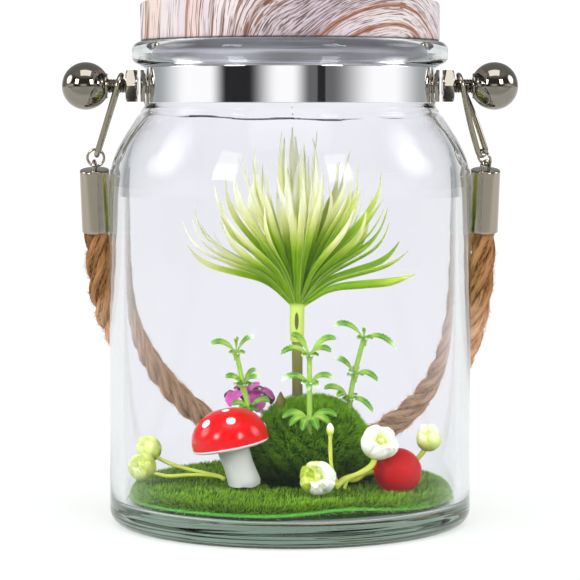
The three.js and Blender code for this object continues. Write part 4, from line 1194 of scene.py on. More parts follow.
def tuft_shell():
    """Blades fan from the hub at golden-angle steps, steep inside and low outside, and steeper to the
    front. A blade's rise above level falls as it leaves the hub and climbs again to its tip; adding
    up the steps of that heading gives its S curve. Blades roll a little about their own length. tone
    says how early a blade turns pale: more so inside and on the left. They stand in a spun socket."""
    rng = np.random.default_rng(3)
    i = np.arange(BLADES)
    turn = i * math.pi * (3 - math.sqrt(5)) + rng.normal(0, 0.12, BLADES)
    front = np.maximum(0, -np.sin(turn)) ** 2
    rank = (i / (BLADES - 1)) ** 0.85 * (1 - 0.42 * front)
    jitter = rng.normal(0, 0.07, BLADES)
    leave = np.radians(88 - 50 * rank) + jitter
    flat = np.radians(86 - 77 * rank) + jitter
    curl = np.radians(98 - 46 * rank ** 1.3) + 4 * jitter
    length = (48 - 5 * rank) * rng.uniform(0.76, 1.0, BLADES)
    steps = 24
    t = np.linspace(0, 1, steps)
    dip, climb = step(0.1, 0.42, t), step(0.6, 1.02, t)
    rise = leave[:, None] + (flat - leave)[:, None] * dip + (curl - flat)[:, None] * climb
    drift = rng.normal(0, 0.38, (2, BLADES))
    sway = turn[:, None] + drift[0][:, None] * t ** 2 + 0.35 * drift[1][:, None] * np.sin(5 * t)
    way = heading(sway, rise)
    run = np.cumsum(way, axis=1) - way
    curve = run * (length / (steps - 1))[:, None, None]
    curve = curve + np.array([TUFT_X, TUFT_Y, HUB - 1.2]) + 1.1 * heading(turn, 0 * turn)[:, None]
    roll = rng.normal(0, 0.6, BLADES)[:, None, None]
    aside = heading(turn + math.pi / 2, 0 * turn)[:, None]
    up = np.cross(way, aside)
    face = np.cos(roll) * up + np.sin(roll) * aside
    half = (0.6 + 0.38 * step(0.1, 0.55, t)) * step(1.04, 0.72, t) ** 0.8 + 0.06
    half = half * rng.uniform(0.8, 1.2, BLADES)[:, None]
    thick = 0.36 * step(1.15, 0.6, t)[None, :, None]
    greener = 0.35 * rank * np.cos(turn) * (1 + (np.cos(turn) > 0))
    pale = rng.uniform(0.45, 1.05, BLADES) + 0.25 * (1 - rank) - greener
    blades = ribbons(curve, face, half, thick, cup=0.35, tone=pale[:, None, None])
    socket = lathe([
        [0, SOCKET_LOW], [SOCKET_R - 0.5, SOCKET_LOW], [SOCKET_R - 0.2, SOCKET_LOW + 0.4],
        [SOCKET_R, SOCKET_LOW + 4], [SOCKET_R, HUB - 1.2], [SOCKET_R + 0.1, HUB - 0.6],
        [SOCKET_R - 0.1, HUB + 0.2], [SOCKET_R - 0.6, HUB + 1.4], [0, HUB + 1.6],
    ], 40).moved([TUFT_X, TUFT_Y, 0])
    return blades + socket.carry(tone=0.5)


def tuft_material(look):
    """Blades: deep green at the hub, yellow green, then cream, each in its own tone, with a pale edge
    and fine lines along. The socket is pale yellow green; its moulded slot is not cut, but painted dark
    as the shade in its recess."""
    paint = Paint("tuft_blades")
    where = paint.place()
    along, tone, side = paint.field("along"), paint.field("tone"), paint.field("side")
    cloud = paint.noise(where, 220.0, 3.0)
    ripe = ((along - 0.18) * (0.4 + 0.8 * tone) + 0.16 * (cloud - 0.5)).within(-0.12, 0.98)
    tint = paint.ramp(ripe, (0.0, look.blade_root), (0.34, ink(130, 172, 14)),
                      (0.5, ink(172, 196, 60)), (0.7, ink(216, 220, 138)), (1.0, look.blade_tip))
    edge = (side * side).within(0.55, 1.0) * 0.35
    tint = paint.mix(edge, tint, ink(232, 240, 160))
    x, y, z = (paint.axis(where, index) for index in range(3))
    tint = paint.mix(z.within(HUB - 1.6, HUB + 0.2), ink(190, 210, 100), tint)
    slot_x, slot_z = (x - SLOT_X) / SLOT_HALF, (z - SLOT_Z) / SLOT_TALL
    in_front = (y - TUFT_Y).math("LESS_THAN", -1.0)
    # Painted shade: a dark patch on the socket's front stands for the slot's recess
    slot = (1 - (slot_x * slot_x + slot_z * slot_z).within(0.6, 1.1)) * in_front
    tint = paint.mix(slot, tint, ink(84, 92, 40))
    ribs = paint.bump(paint.noise(where, 800.0, 2.0, stretch=(1, 1, 0.2)), 0.1, 0.5)
    # The faint emission in the blades' own colour is painted light: they glow though no lamp is in them
    return paint.finish(Base_Color=tint, Roughness=0.45, Subsurface_Weight=0.3,
                        Subsurface_Radius=(1.0, 1.0, 0.6), Subsurface_Scale=0.0015,
                        Specular_IOR_Level=0.25, Emission_Color=tint, Emission_Strength=0.05,
                        Normal=ribs)


def tuft_stem():
    """A rod that leans by a slow sine, and is uneven by a quick one."""
    t = np.linspace(0, 1, 50)
    path = np.stack([TUFT_X + 0.15 * np.sin(math.pi * t), np.full(50, TUFT_Y),
                     STEM_FOOT + t * (STEM_TOP - STEM_FOOT)], -1)
    return rod(path, TUFT_STEM_R + 0.04 * np.sin(9 * t), 24)


def bark():
    """Painted stem: brown at the foot, olive above, with streaks along it."""
    paint = Paint("dark_stem")
    where = paint.place()
    streak = paint.noise(where, 500.0, 3.0, stretch=(1, 1, 0.08))
    tint = paint.mix(paint.axis(where, 2).within(30, 50), ink(74, 60, 26), ink(128, 128, 48))
    tint = paint.mix(streak.within(0.4, 0.7), tint, ink(92, 92, 36))
    return paint.finish(Base_Color=tint, Roughness=0.5, Normal=paint.bump(streak, 0.15, 0.6))


class JAR_OT_tuft(Operator):
    """Builds the grass tuft on its stem"""

    bl_idname = "jar.tuft"
    bl_label = "Grass tuft"

    def execute(self, context):
        look = context.scene.jar_garden
        build("tuft_blades", tuft_shell(), tuft_material(look), STILL, "tuft_head")
        build("olive_stem", tuft_stem(), bark(), STILL, "tuft_stem")
        return {"FINISHED"}


# Sprigs: a stem that flares into a cup at each whorl of toothed spoon leaves. Each whorl gives its
# place along the stem, and each leaf its heading in degrees, its reach and the lift of its tip.
SPRIGS = {
    "left": (
        [(-9.3, 0, 19), (-10.4, 0, 26.5), (-13, 0, 37.8), (-14.9, 0, 46.8)],
        [
            (0.43, [(-15, 6, 2.4), (-60, 3.6, 1.6), (195, 5, 1.4), (-130, 3.8, 0.6)]),
            (0.68, [(180, 4.9, 1.9), (20, 3.9, 3.9), (-35, 5.4, 1.8), (-120, 4, 1)]),
            (1.0, [(180, 7.2, 2.4), (-20, 5.2, 4.3), (80, 1.7, 4.3), (-100, 2, 4)]),
        ],
    ),
    "centre": (
        [(5.3, -9.8, 19), (5.3, -10.8, 28), (5.3, -10.8, 38), (5.3, -10.6, 47.2)],
        [
            (0.38, [(-165, 7.6, 0.6), (-15, 7.6, 1), (-140, 7, -1.2), (-40, 7, -1),
                    (-110, 6, -2.4), (-70, 6, -2.2)]),
            (0.74, [(185, 7.6, 0.6), (-5, 6.4, 1.2), (-95, 3.8, -1.8), (-50, 3.6, -1.2)]),
            (1.0, [(150, 5.8, 5.2), (200, 8.2, 0.6), (15, 7.5, 4.2), (-30, 6.6, 1.2)]),
        ],
    ),
    "right": (
        [(14.8, 0.3, 21), (16.4, 0, 32.4), (18, 0, 41), (20.5, 0, 50.8)],
        [
            (0.43, [(175, 7.2, 2.8), (-130, 5.6, 1), (-5, 6.4, -3.6), (70, 4.6, 0.6)]),
            (0.66, [(180, 5.6, 4.2), (-10, 6.4, -1.6), (-110, 4, 0.6), (80, 4.4, 1)]),
            (1.0, [(180, 8.3, 3.4), (-5, 8.8, -2.8), (90, 1.9, 2.6), (-90, 1.9, 2.4)]),
        ],
    ),
}
SPRIG_R, LEAF_HALF, SPRIG_STEPS = 0.72, 1.3, 80
# Leaves that leave their stem below this height stay deep green
DEEP_BELOW = 33
# The flared cup under a whorl: share of the stem's radius, and height
CUP_ROWS = np.array([[0, -2.4], [0.9, -2.2], [1.05, -1.2], [1.5, -0.3], [1.9, 0.3], [1.6, 0.5],
                     [0.9, 0.2], [0, 0.0]])


def leaf_batch(at, leaves, rows=45, wide=1.0):
    """Spoon leaves that arch out and droop: a cubic raised by an arch in its middle. The half width
    swells as sin^1.2 past a narrow stalk, cut by teeth over its outer part. tone is a sine of the
    heading and reach, or -1 for the deep green leaves at the foot."""
    leaves = np.array(leaves, float)
    turn = np.radians(leaves[:, 0])
    reach, lift = leaves[:, 1], leaves[:, 2]
    way = polar(1, turn, 0)
    arch = 0.26 * np.hypot(reach, lift)

    def spot(share, extra):
        """A place at a share of the leaf's reach, raised by extra."""
        rise = share * lift + extra
        return at + (share * reach)[:, None] * way + rise[:, None] * np.array([0, 0, 1])

    start = 0.5 * SPRIG_R / reach
    curve = bezier(np.stack([spot(start, -0.2 + 0 * arch), spot(0.3 + 0 * start, arch),
                             spot(0.72 + 0 * start, arch), spot(1 + 0 * start, -0.1 * arch)], 1), rows)
    rise = np.arctan2(lift, reach)
    up = heading(turn + math.pi, math.pi / 2 - rise) - np.array([0, 0.8, 0])
    t = np.linspace(0, 1, rows)
    swell = 0.26 + 0.74 * np.sin(math.pi * np.clip(t - 0.12, 0, 1) / 0.98) ** 1.2
    teeth = 1 - 0.3 * step(0.3, 0.5, t) * np.abs(np.sin(math.pi * t * 11)) ** 1.5
    outline = swell * teeth * step(1.04, 0.9, t) + 0.04
    half = wide * LEAF_HALF * np.minimum(1, reach / 5)[:, None] * outline[None]
    tone = np.where(at[2] < DEEP_BELOW, -1.0, 0.5 + 0.5 * np.sin(5 * turn + 3 * reach))
    return ribbons(curve, up[:, None], half, 0.13, cup=0.34, tone=tone[:, None, None])


def sprig_shell(route, whorls):
    """A stem that narrows from 1.06 to 0.94 of its radius, with a flared cup, leaves and a ring of
    small teeth at each whorl."""
    path = smooth(route, SPRIG_STEPS)
    stem = rod(path, SPRIG_R * (1.06 - 0.12 * np.linspace(0, 1, SPRIG_STEPS)), 16, along=0.05)
    for place, leaves in whorls:
        at = path[int(round(place * (SPRIG_STEPS - 1)))]
        cup = lathe(CUP_ROWS * [SPRIG_R, 1], 20).carry(along=0.2)
        stem = stem + cup.moved(at) + leaf_batch(at, leaves)
        teeth = [(turn + 13 * place, 2.6 + 0.5 * math.sin(turn), 0.3) for turn in range(0, 360, 30)]
        stem = stem + leaf_batch(at - [0, 0, 0.5], teeth, rows=14, wide=1.1)
    return stem


def leaf_material(look):
    """Leaves: yellow green by the stem, deep green in the middle, pale grey at the toothed tips, each in
    its own tone, with a pale midrib. Where tone is -1 a leaf keeps to the greens."""
    paint = Paint("sprig_leaf")
    where = paint.place()
    along, side, tone = paint.field("along"), paint.field("side"), paint.field("tone")
    cloud = paint.noise(where, 300.0, 3.0)
    deep = 1 - tone.within(-1.0, 0.0)
    fade = (along * (0.75 + 0.35 * tone) + 0.24 * deep + 0.5 * (cloud - 0.5)).within(0.25, 1.1)
    tint = paint.ramp(fade, (0.0, look.leaf), (0.3, ink(72, 128, 24)), (0.72, ink(122, 168, 70)),
                      (1.0, ink(232, 236, 214)))
    rib = (1 - (side * side).within(0.0, 0.06)) * along.within(0.3, 0.4) * 0.3
    tint = paint.mix(rib, tint, ink(196, 222, 120))
    veins = paint.bump(paint.noise(where, 900.0, 2.0), 0.1, 0.5)
    return paint.finish(Base_Color=tint, Roughness=0.38, Subsurface_Weight=0.1,
                        Subsurface_Radius=(1.0, 1.0, 0.3), Subsurface_Scale=0.001,
                        Specular_IOR_Level=0.3, Normal=veins)


class JAR_OT_sprigs(Operator):
    """Builds the three leafy sprigs"""

    bl_idname = "jar.sprigs"
    bl_label = "Sprigs"

    def execute(self, context):
        leaf = leaf_material(context.scene.jar_garden)
        for name, (route, whorls) in SPRIGS.items():
            build(f"leafy_sprig_{name}", sprig_shell(route, whorls), leaf, STILL,
                  f"sprig_{name}")
        return {"FINISHED"}


# Purple flower, its stalk and the shoot beside it
FLOWER = np.array([-11.7, 9.2, 32.2])
FLOWER_R, STALK_R = 8.2, 0.7
STALK_ROUTE = [(-3.5, 6.2, 24), (-7, 7.5, 28.6), (-10.2, 8.8, 31), tuple(FLOWER)]
# Rows of petals: how many, their rise in radians, share of the flower's radius, turn and half width
PETAL_ROWS = [(6, 0.12, 1.0, 0.72, 3.5), (5, 0.8, 0.7, 0.2, 2.8)]


def flower_shell():
    """Two rows of broad petals that arch over from the heart on cubics, as wide as sin^0.9 with waved
    edges, and the spun heart."""
    rng = np.random.default_rng(9)
    shell = lathe([[0, -1.4], [1.4, -1.1], [1.9, -0.2], [1.9, 0.8], [1.3, 1.8], [0.5, 2.3], [0, 2.4]],
                  28).moved(FLOWER).carry(side=1)
    rows = 22
    t = np.linspace(0, 1, rows)
    for count, rise, reach, turn, half in PETAL_ROWS:
        angle = TAU * (np.arange(count) + turn) / count + rng.normal(0, 0.12, count)
        long = (FLOWER_R * reach * rng.uniform(0.88, 1.0, count))[:, None]
        rises = rise + rng.normal(0, 0.2, count)
        legs = [FLOWER + share * long * heading(angle, rises + extra)
                for share, extra in ((0.16, 0), (0.5, 0.5), (0.86, 0.42), (1, -0.3))]
        curve = bezier(np.stack(legs, 1), rows)
        up = heading(angle + math.pi, math.pi / 2 - rises)[:, None]
        width = half * np.sin(math.pi * (0.16 + 0.74 * t)) ** 0.9 * (1 + 0.1 * np.sin(16 * t))
        width = width * step(1.05, 0.9, t) + 0.1
        shell = shell + ribbons(curve, up, width[None], 0.17, cup=0.22, sides=14)
    return shell


def petal_material(look):
    """Dyed cloth petals: magenta, deeper at the heart, paler at the edge, with lines along them."""
    paint = Paint("petal_cloth")
    where = paint.place()
    along, side = paint.field("along"), paint.field("side")
    cloud = paint.noise(where, 260.0, 3.0)
    deep = paint.mix((along + 0.4 * cloud).within(0.1, 0.75), ink(120, 22, 104), look.petal)
    pale = paint.mix((side * side).within(0.4, 1.0) * 0.6, deep, ink(226, 142, 206))
    weave = paint.bump(paint.noise(where, 2200.0, 2.0), 0.05, 0.6)
    heart = (1 - along.within(0.0, 0.12)) * (side * side).within(0.9, 1.0)
    tint = paint.mix(heart, pale, ink(112, 96, 40))
    return paint.finish(Base_Color=tint, Roughness=0.6, Sheen_Weight=0.3, Normal=weave)


class JAR_OT_flower(Operator):
    """Builds the purple flower, its stalk and the pointed shoot"""

    bl_idname = "jar.flower"
    bl_label = "Flower"

    def execute(self, context):
        look = context.scene.jar_garden
        build("flower_petals", flower_shell(), petal_material(look), STILL,
              "purple_flower")
        pale = simple("pale_stalk", ink(176, 198, 120), 0.5, 0.8)
        stalk = rod(smooth(STALK_ROUTE, 40), STALK_R, 14)
        build("flower_stem", stalk, pale, STILL, "flower_stalk")
        olive = simple("olive_shoot", ink(116, 112, 44), 0.5, 0.6)
        shoot = lathe([[0, 28], [0.5, 28.1], [0.55, 31.2], [1.1, 32.2], [1.4, 33.2], [1.1, 34.2],
                       [0.5, 35.5], [0.12, 36.1], [0, 36.2]], 20).moved([-2.6, -2.0, 0])
        build("pointed_shoot", shoot, olive, STILL, "shoot")
        return {"FINISHED"}


# Mushroom and berry. Leans are in radians.
MUSHROOM = np.array([-12.1, -15.0, 12.3])
STEM_LEAN, CAP_LEAN = -0.32, -0.19
CAP_Z, CAP_R, CAP_RISE, STEM_R, STEM_TALL = 24.4, 10.35, 8.7, 4.3, 12.7
# Spots on the cap: the angle round it from +X in degrees, the angle down from its top, the radius
CAP_SPOTS = [(-78, 46, 1.3), (-132, 44, 1.35), (-80, 13, 1.1), (40, 55, 1.5), (95, 50, 1.5),
             (150, 62, 1.4), (0, 74, 0.9)]
BERRY, BERRY_R = (28.8, -16, 16.1), 6.3


def leant(shell, angle):
    """Turned about Y, which tips the top towards -X where the angle is negative."""
    c, s = math.cos(angle), math.sin(angle)
    return shell.turned([[c, 0, s], [0, 1, 0], [-s, 0, c]])


def cap_shell():
    """A dome whose radius is cap cos^0.85 and height rise sin, with a rolled edge and a flat underside.
    Painted spots stand out by an eighth of a millimetre."""
    turns = 144
    fall = np.linspace(0, 88, 52)[::-1]
    crown = np.stack([CAP_R * np.cos(np.radians(fall)) ** 0.85,
                      CAP_RISE * np.sin(np.radians(fall))], -1)[::-1]
    profile = np.concatenate([
        [[0.5, -0.8], [4, -1.2], [8, -1.8], [CAP_R - 1.3, -1.95], [CAP_R - 0.6, -1.75]],
        arc(CAP_R - 0.75, -0.95, 0.72, -70, 0, 5), crown[1:],
    ])
    grid = spun(profile, turns)
    normal = unit(grid * np.array([1, 1, (CAP_R / CAP_RISE) ** 2]))
    spot = np.zeros(grid.shape[:2])
    for turn, down, radius in CAP_SPOTS:
        t, d = math.radians(turn), math.radians(down)
        centre = polar(CAP_R * math.sin(d) ** 0.85, t, CAP_RISE * math.cos(d))
        away = np.linalg.norm(grid - centre, axis=-1)
        spot = np.maximum(spot, step(radius + 0.05, radius - 0.22, away))
    spot *= grid[..., 2] > -0.2
    grid = grid + (0.12 * spot)[..., None] * normal
    rim = step(-0.9, -1.2, grid[..., 2])
    poles = np.array([[[0, 0, -0.8], [0, 0, CAP_RISE]]])
    return tubes(grid[None], poles, spot=spot[None], rim=rim[None])


def gloss_paint(look):
    """Glossy red over white foam: raised white spots, and a bare white rim under the cap."""
    paint = Paint("cap_paint")
    where = paint.place()
    spot, rim = paint.field("spot"), paint.field("rim")
    cloud = paint.noise(where, 160.0, 3.0)
    red = paint.mix(cloud, look.cap, ink(204, 0, 6))
    edge = (rim + 0.12 * (cloud - 0.5)).within(0.25, 0.6)
    white = (spot.within(0.35, 0.65) + edge).at_most(1.0)
    tint = paint.mix(white, red, ink(250, 244, 240))
    skin = paint.bump(paint.noise(where, 500.0, 2.0), 0.05, 0.35)
    return paint.finish(Base_Color=tint, Roughness=0.2 + 0.15 * white, Coat_Weight=0.5,
                        Coat_Roughness=0.06, Specular_IOR_Level=0.1, Normal=skin)


def stem_shell():
    """A leant foam stem with a soft waist, its foot cut level where it stands."""
    stem = lathe([
        [0, -0.9], [STEM_R - 0.3, -0.9], [STEM_R + 0.1, 0.2], [STEM_R + 0.05, 1.2],
        [STEM_R - 0.15, 3.4], [STEM_R - 0.3, 5.6], [STEM_R - 0.15, 8.4], [STEM_R, 10.6],
        [STEM_R - 0.1, STEM_TALL - 0.4], [STEM_R - 0.6, STEM_TALL - 0.1], [0, STEM_TALL - 0.1],
    ], 64)
    stem = leant(stem, STEM_LEAN)
    stem.points[:, 2] = np.maximum(stem.points[:, 2], -0.3)
    return stem


def berry_shell():
    """A ball with a dimple on top, soft dents and a shallow mould seam round it."""
    rise = np.radians(np.linspace(-88, 84, 60))
    profile = np.stack([BERRY_R * np.cos(rise), BERRY_R * np.sin(rise)], -1)
    profile[-4:, 1] -= np.array([0.05, 0.2, 0.45, 0.7])
    grid = spun(profile, 96)
    dent = 1 + 0.006 * lumps(grid[..., 0] + grid[..., 2], grid[..., 1], 2.2)
    seam = 1 - 0.012 * np.exp(-((grid[..., 2] + 1.6 + 0.1 * grid[..., 0]) / 0.12) ** 2)
    return solid_of(grid * (dent * seam)[..., None], -BERRY_R, BERRY_R - 0.9)


class JAR_OT_mushroom(Operator):
    """Builds the leaning mushroom and the berry"""

    bl_idname = "jar.mushroom"
    bl_label = "Mushroom and berry"

    def execute(self, context):
        look = context.scene.jar_garden
        reach = (CAP_Z - MUSHROOM[2]) * math.tan(STEM_LEAN)
        cap = leant(cap_shell(), CAP_LEAN).moved([MUSHROOM[0] + reach, MUSHROOM[1], CAP_Z])
        build("painted_cap", cap, gloss_paint(look), STILL, "mushroom_cap")
        foam = simple("white_foam", ink(196, 197, 189), 0.42, 0.9, 260.0, 0.12)
        build("foam_stem", stem_shell().moved(MUSHROOM), foam, STILL, "mushroom_stem")
        paint = simple("berry_paint", look.berry, 0.32, 0.8, 140.0, 0.05, 0.08, 0.05)
        build("red_berry", berry_shell().moved(BERRY), paint, STILL, "berry")
        return {"FINISHED"}


# Bud sprays: the place, radius and opening way of each bud, its petals, how green it is, and how much
# greener its petals get towards +X
BUDS = {
    "bud_front": ((7.4, -29, 16.2), 4.6, (-0.15, -0.85, 0.35), 7, 0.5, -0.75),
    "bud_right_inner": ((23.4, -22.5, 24.6), 4.6, (0.25, -0.8, 0.45), 5, 0.1, -0.15),
    "bud_right_outer": ((37.8, -8, 23.8), 3.5, (-0.1, -0.5, 0.85), 4, 0.75, 0.0),
    "bud_left_low": ((-40.2, -8, 16), 3.8, (-0.2, -0.75, 0.6), 5, 1.05, 0.0),
    "bud_left_high": ((-39, -2.6, 20.3), 3.5, (-0.3, -0.4, 0.85), 4, 0.9, 0.0),
}
SPRAYS = {
    "spray_right": [
        ([(11.9, -26.6, 13.2), (13.2, -26, 14.4), (14.5, -25.5, 15.4), (18.8, -24, 16.9),
          (21.6, -22.9, 18.7), (22.8, -22.4, 21.6)], 0.78),
        ([(14.5, -25.5, 15.4), (17.4, -19.6, 14.4), (20.6, -10.6, 14.4), (26.6, -6.8, 15.2),
          (33, -7.6, 17), (36.2, -8, 20), (37.2, -8, 22.6)], 0.7),
        ([(12.4, -26.4, 13.8), (11, -27.2, 14.6), (8.6, -28.4, 16.2)], 0.7),
        ([(12.6, -26.2, 14), (11.2, -27.6, 17.5), (10.6, -28.3, 22), (10.5, -28.4, 27.4)], 0.5),
        ([(15.2, -25.3, 15.4), (14.6, -25.9, 13.9), (14.2, -26.4, 12.9)], 0.45),
    ],
    "spray_left": [
        ([(-17.6, -12.8, 13.4), (-20.2, -12, 14.3), (-27, -11, 14.4), (-33, -9.4, 13.8),
          (-38.4, -8.3, 14.8)], 0.52),
        ([(-20.2, -12, 14.3), (-26.6, -8.8, 15.4), (-32.6, -5.6, 16.6), (-37.6, -3.2, 18.6)], 0.52),
    ],
}


def bud_shell(at, r, way, lobes, green, blush, seed):
    """A half open bud as one skin: up the outside of a ball, over the rim, down into a cup and up a
    small pistil. Its petals are lobes round the pole, |sin|^0.55 of the angle, deeper towards the rim,
    each lifted and bent in by its own random share, with crimped edges and soft dents. along goes
    over the section, side is 1 in the folds, and tone is how green a petal is."""
    rng = np.random.default_rng(seed)
    pole = unit(np.array(way, float))
    east = unit(np.cross(pole, [1, 0.2, 0.1]))
    turn_to = np.stack([east, np.cross(pole, east), pole], -1)
    outside = np.radians(np.linspace(176, 46, 34))
    profile = np.concatenate([
        np.stack([np.sin(outside), np.cos(outside)], -1),
        arc(0.62, 0.68, 0.12, 20, 150, 6),
        np.stack([np.linspace(0.5, 0.3, 6), np.linspace(0.62, 0.3, 6)], -1),
        [[0.24, 0.25], [0.2, 0.28], [0.17, 0.38], [0.16, 0.5], [0.12, 0.6], [0.05, 0.64]],
    ])
    columns = 120
    angle = circle(columns)[None, :]
    grid = spun(profile * r, columns)
    share = np.linspace(0, 1, len(profile))[:, None]
    petal = step(0.2, 0.72, share) * step(0.99, 0.84, share)
    slot = (angle + 0.5 * share) * lobes / TAU
    fold = np.abs(np.sin(math.pi * slot)) ** 0.55
    own = rng.normal(0, 1, (2, lobes))
    which = np.floor(slot % lobes).astype(int) % lobes
    bulge = 0.18 * fold - 0.12 + 0.09 * own[0][which] * fold
    crimp = np.sin(3 * lobes * angle + 9 * share) + np.sin(5 * lobes * angle - 4 * share + 1)
    crimp = 0.035 * crimp * step(0.4, 0.7, share)
    grid[..., :2] *= (1 + petal * (bulge + crimp))[..., None]
    lift = petal * step(0.35, 0.7, share) * (0.16 * fold - 0.1 + 0.08 * own[1][which] * fold)
    grid[..., 2] += r * lift
    dents = lumps(grid[..., 0], grid[..., 1] + grid[..., 2], 1.6)
    grid += (0.07 * r * petal * dents)[..., None]
    heads = around(TAU * (np.arange(lobes) + 0.5) / lobes, turn_to[:, 0], turn_to[:, 1])
    own_tone = (green + 0.15 * rng.uniform(-1, 1, lobes) + blush * heads[:, 0])[which]
    values = {"along": share + 0 * angle, "side": 1 - fold + 0 * share, "tone": own_tone + 0 * share}
    poles = np.array([[[0, 0, -r], [0, 0, 0.65 * r]]])
    shell = tubes(grid[None], poles, **{key: value[None] for key, value in values.items()})
    return shell.turned(turn_to).moved(at)


def bud_material():
    """Buds: yellow green at the foot, in the folds and inside the cup, creamy white on the lobes."""
    paint = Paint("bud_petal")
    where = paint.place()
    along, fold, tone = paint.field("along"), paint.field("side"), paint.field("tone")
    cloud = paint.noise(where, 330.0, 3.0)
    ripe = 1.2 * along.within(0.0, 0.65) - 0.95 * tone - 0.25 * fold + 0.3 * (cloud - 0.5) + 0.35
    tint = paint.ramp(ripe, (0.0, ink(150, 176, 24)), (0.35, ink(186, 204, 62)),
                      (0.7, ink(224, 230, 150)), (1.0, ink(246, 246, 232)))
    tint = paint.mix(0.75 * along.within(0.8, 0.9), tint, ink(214, 224, 104))
    skin = paint.bump(paint.noise(where, 700.0, 2.0), 0.12, 0.6)
    return paint.finish(Base_Color=tint, Roughness=0.4, Subsurface_Weight=0.3,
                        Subsurface_Radius=(1.0, 1.0, 0.5), Subsurface_Scale=0.0015, Normal=skin)


def spray_shell(stems):
    """Rods that swell a little along a sine, and at their ends where the buds sit."""
    t = np.linspace(0, 1, 70)
    swell = 1 + 0.1 * np.sin(11 * t) + 0.25 * step(0.88, 1.0, t)
    rods = [rod(smooth(route, 70), radius * swell, 14) for route, radius in stems]
    return sum(rods[1:], rods[0])


class JAR_OT_buds(Operator):
    """Builds the bud sprays on the mat"""

    bl_idname = "jar.buds"
    bl_label = "Buds"

    def execute(self, context):
        petal = bud_material()
        for seed, (name, (at, r, way, lobes, green, blush)) in enumerate(BUDS.items()):
            shell = bud_shell(at, r, way, lobes, green, blush, 20 + seed)
            build(f"petals_{name}", shell, petal, STILL, name)
        tiny = lathe([[0, 27.2], [0.55, 27.5], [0.9, 28.3], [1.0, 29], [0.85, 29.8], [0.5, 30.4],
                      [0.2, 30.7], [0, 30.75]], 24).moved([10.5, -28.4, 0])
        tiny.values = {"along": np.linspace(0.1, 0.7, len(tiny.points)),
                       "tone": np.full(len(tiny.points), 0.4)}
        build("petals_bud_tiny", tiny, petal, STILL, "bud_tiny")
        green = simple("stem_green", ink(196, 206, 78), 0.45, 0.8, 400.0, 0.1)
        for name, stems in SPRAYS.items():
            build(f"stems_{name}", spray_shell(stems), green, STILL, name)
        return {"FINISHED"}


# Stage. The camera's focal length, the picture's width and the horizon's row are in pixels.
PHOTO_FOCAL, PHOTO_WIDE, HORIZON_ROW = 2386, 580, 119
SENSOR = 36.0
CAMERA_AT = (0.0, -0.660, 0.1114)
CAMERA_SHIFT = -0.08
LOOK_AT = (0, 0, 0.07)
FLOOR_R = 6.0
# What the floor gives off: behind the jar, beside it, in front of it and under its foot, where the low
# glow is a painted shadow
GLOW_BEHIND, GLOW_BESIDE = (0.99, 0.99, 0.99), (0.62, 0.63, 0.62)
GLOW_FRONT, GLOW_IN_SHADOW = (0.34, 0.35, 0.34), (0.2, 0.22, 0.2)
FLOOR_BEHIND = (0.02, 0.02, 0.02)
# Screen colours of the room in front of the jar, low and overhead
ROOM_LOW, ROOM_HIGH = (84, 82, 80), (176, 176, 182)
# Dark gaps in the bright strip at eye level: degrees from the front where each starts, is full,
# starts to end and ends, and how dark it is
SHADES = [(-63, -48, -31, -8, 1.0), (1, 15, 30, 68, 0.89), (16, 21, 26, 28, 1.0)]
SHADE_COLOUR = (40, 40, 42)
# The white behind the jar fades to grey between these heights of the view, and at a slant, in
# degrees from straight behind: where the grey starts, is full, starts to end and ends
BACK_TALL = (0.09, 0.26)
BACK_SLANT = (30.0, 45.0, 60.0, 100.0)
BACK_COLOUR = (158, 162, 164)
# Lamps: name, place and size in metres, and power in watts
LAMPS = [
    ("window_left", (-0.82, -0.9, 0.54), 0.32, 0.46, 7.6),
    ("window_right", (0.64, -1.02, 0.54), 0.32, 0.46, 7.6),
    ("overhead", (0.0, -0.45, 1.2), 0.9, 0.7, 5.0),
]
# Soft round cards beside the jar: their radius and places in metres
SOFT_CARD = 0.4
SOFT_PLACES = [("soft_left", (-1.1, 0.0, 0.54)), ("soft_right", (1.1, 0.0, 0.54))]


def stand(name, data, place=(0, 0, 0), target=None):
    """Puts a camera, lamp or mesh in the scene, with its -Z towards the target if there is one."""
    piece = bpy.data.objects.new(name, data)
    piece.location = place
    if target:
        way = Vector(target) - piece.location
        piece.rotation_euler = way.to_track_quat("-Z", "Y").to_euler()
    bpy.context.scene.collection.objects.link(piece)
    return piece


def set_camera(scene):
    """The photograph's camera: level sight lines at the horizon's row, from its focal length."""
    lens = bpy.data.cameras.new("camera")
    lens.sensor_width = SENSOR
    lens.lens = PHOTO_FOCAL / PHOTO_WIDE * SENSOR
    lens.shift_y = CAMERA_SHIFT
    lens.clip_start, lens.clip_end = 0.01, 50
    camera = stand("camera", lens, CAMERA_AT)
    pitch = math.atan((PHOTO_WIDE / 2 - HORIZON_ROW + CAMERA_SHIFT * PHOTO_WIDE) / PHOTO_FOCAL)
    camera.rotation_euler = (math.pi / 2 - pitch, 0, 0)
    scene.camera = camera
    scene.view_settings.view_transform = "Standard"


def floor_material(look):
    """A pale floor: it glows white behind the jar, grey in front, and darker under the foot, a painted
    shadow of the jar.
    """
    paint = Paint("floor")
    place = paint.place()
    y = paint.add("SeparateXYZ", None, place, output=1)
    away = paint.add("VectorMath", {"operation": "LENGTH"}, place, output=1)
    behind = y.within(-0.05, 0.2)
    before = 1 - y.within(-0.17, -0.088)
    glow = paint.mix(behind, GLOW_BESIDE, GLOW_BEHIND)
    glow = paint.mix(before, glow, GLOW_FRONT)
    # Painted shadow: the glow drops under the jar's foot
    glow = paint.mix(1 - away.within(0.044, 0.0505), glow, GLOW_IN_SHADOW)
    cloth = paint.mix(behind, look.floor, FLOOR_BEHIND)
    cloth = paint.mix(before, cloth, look.front)
    return paint.finish(Base_Color=cloth, Roughness=0.9, Emission_Color=glow, Emission_Strength=1.0)


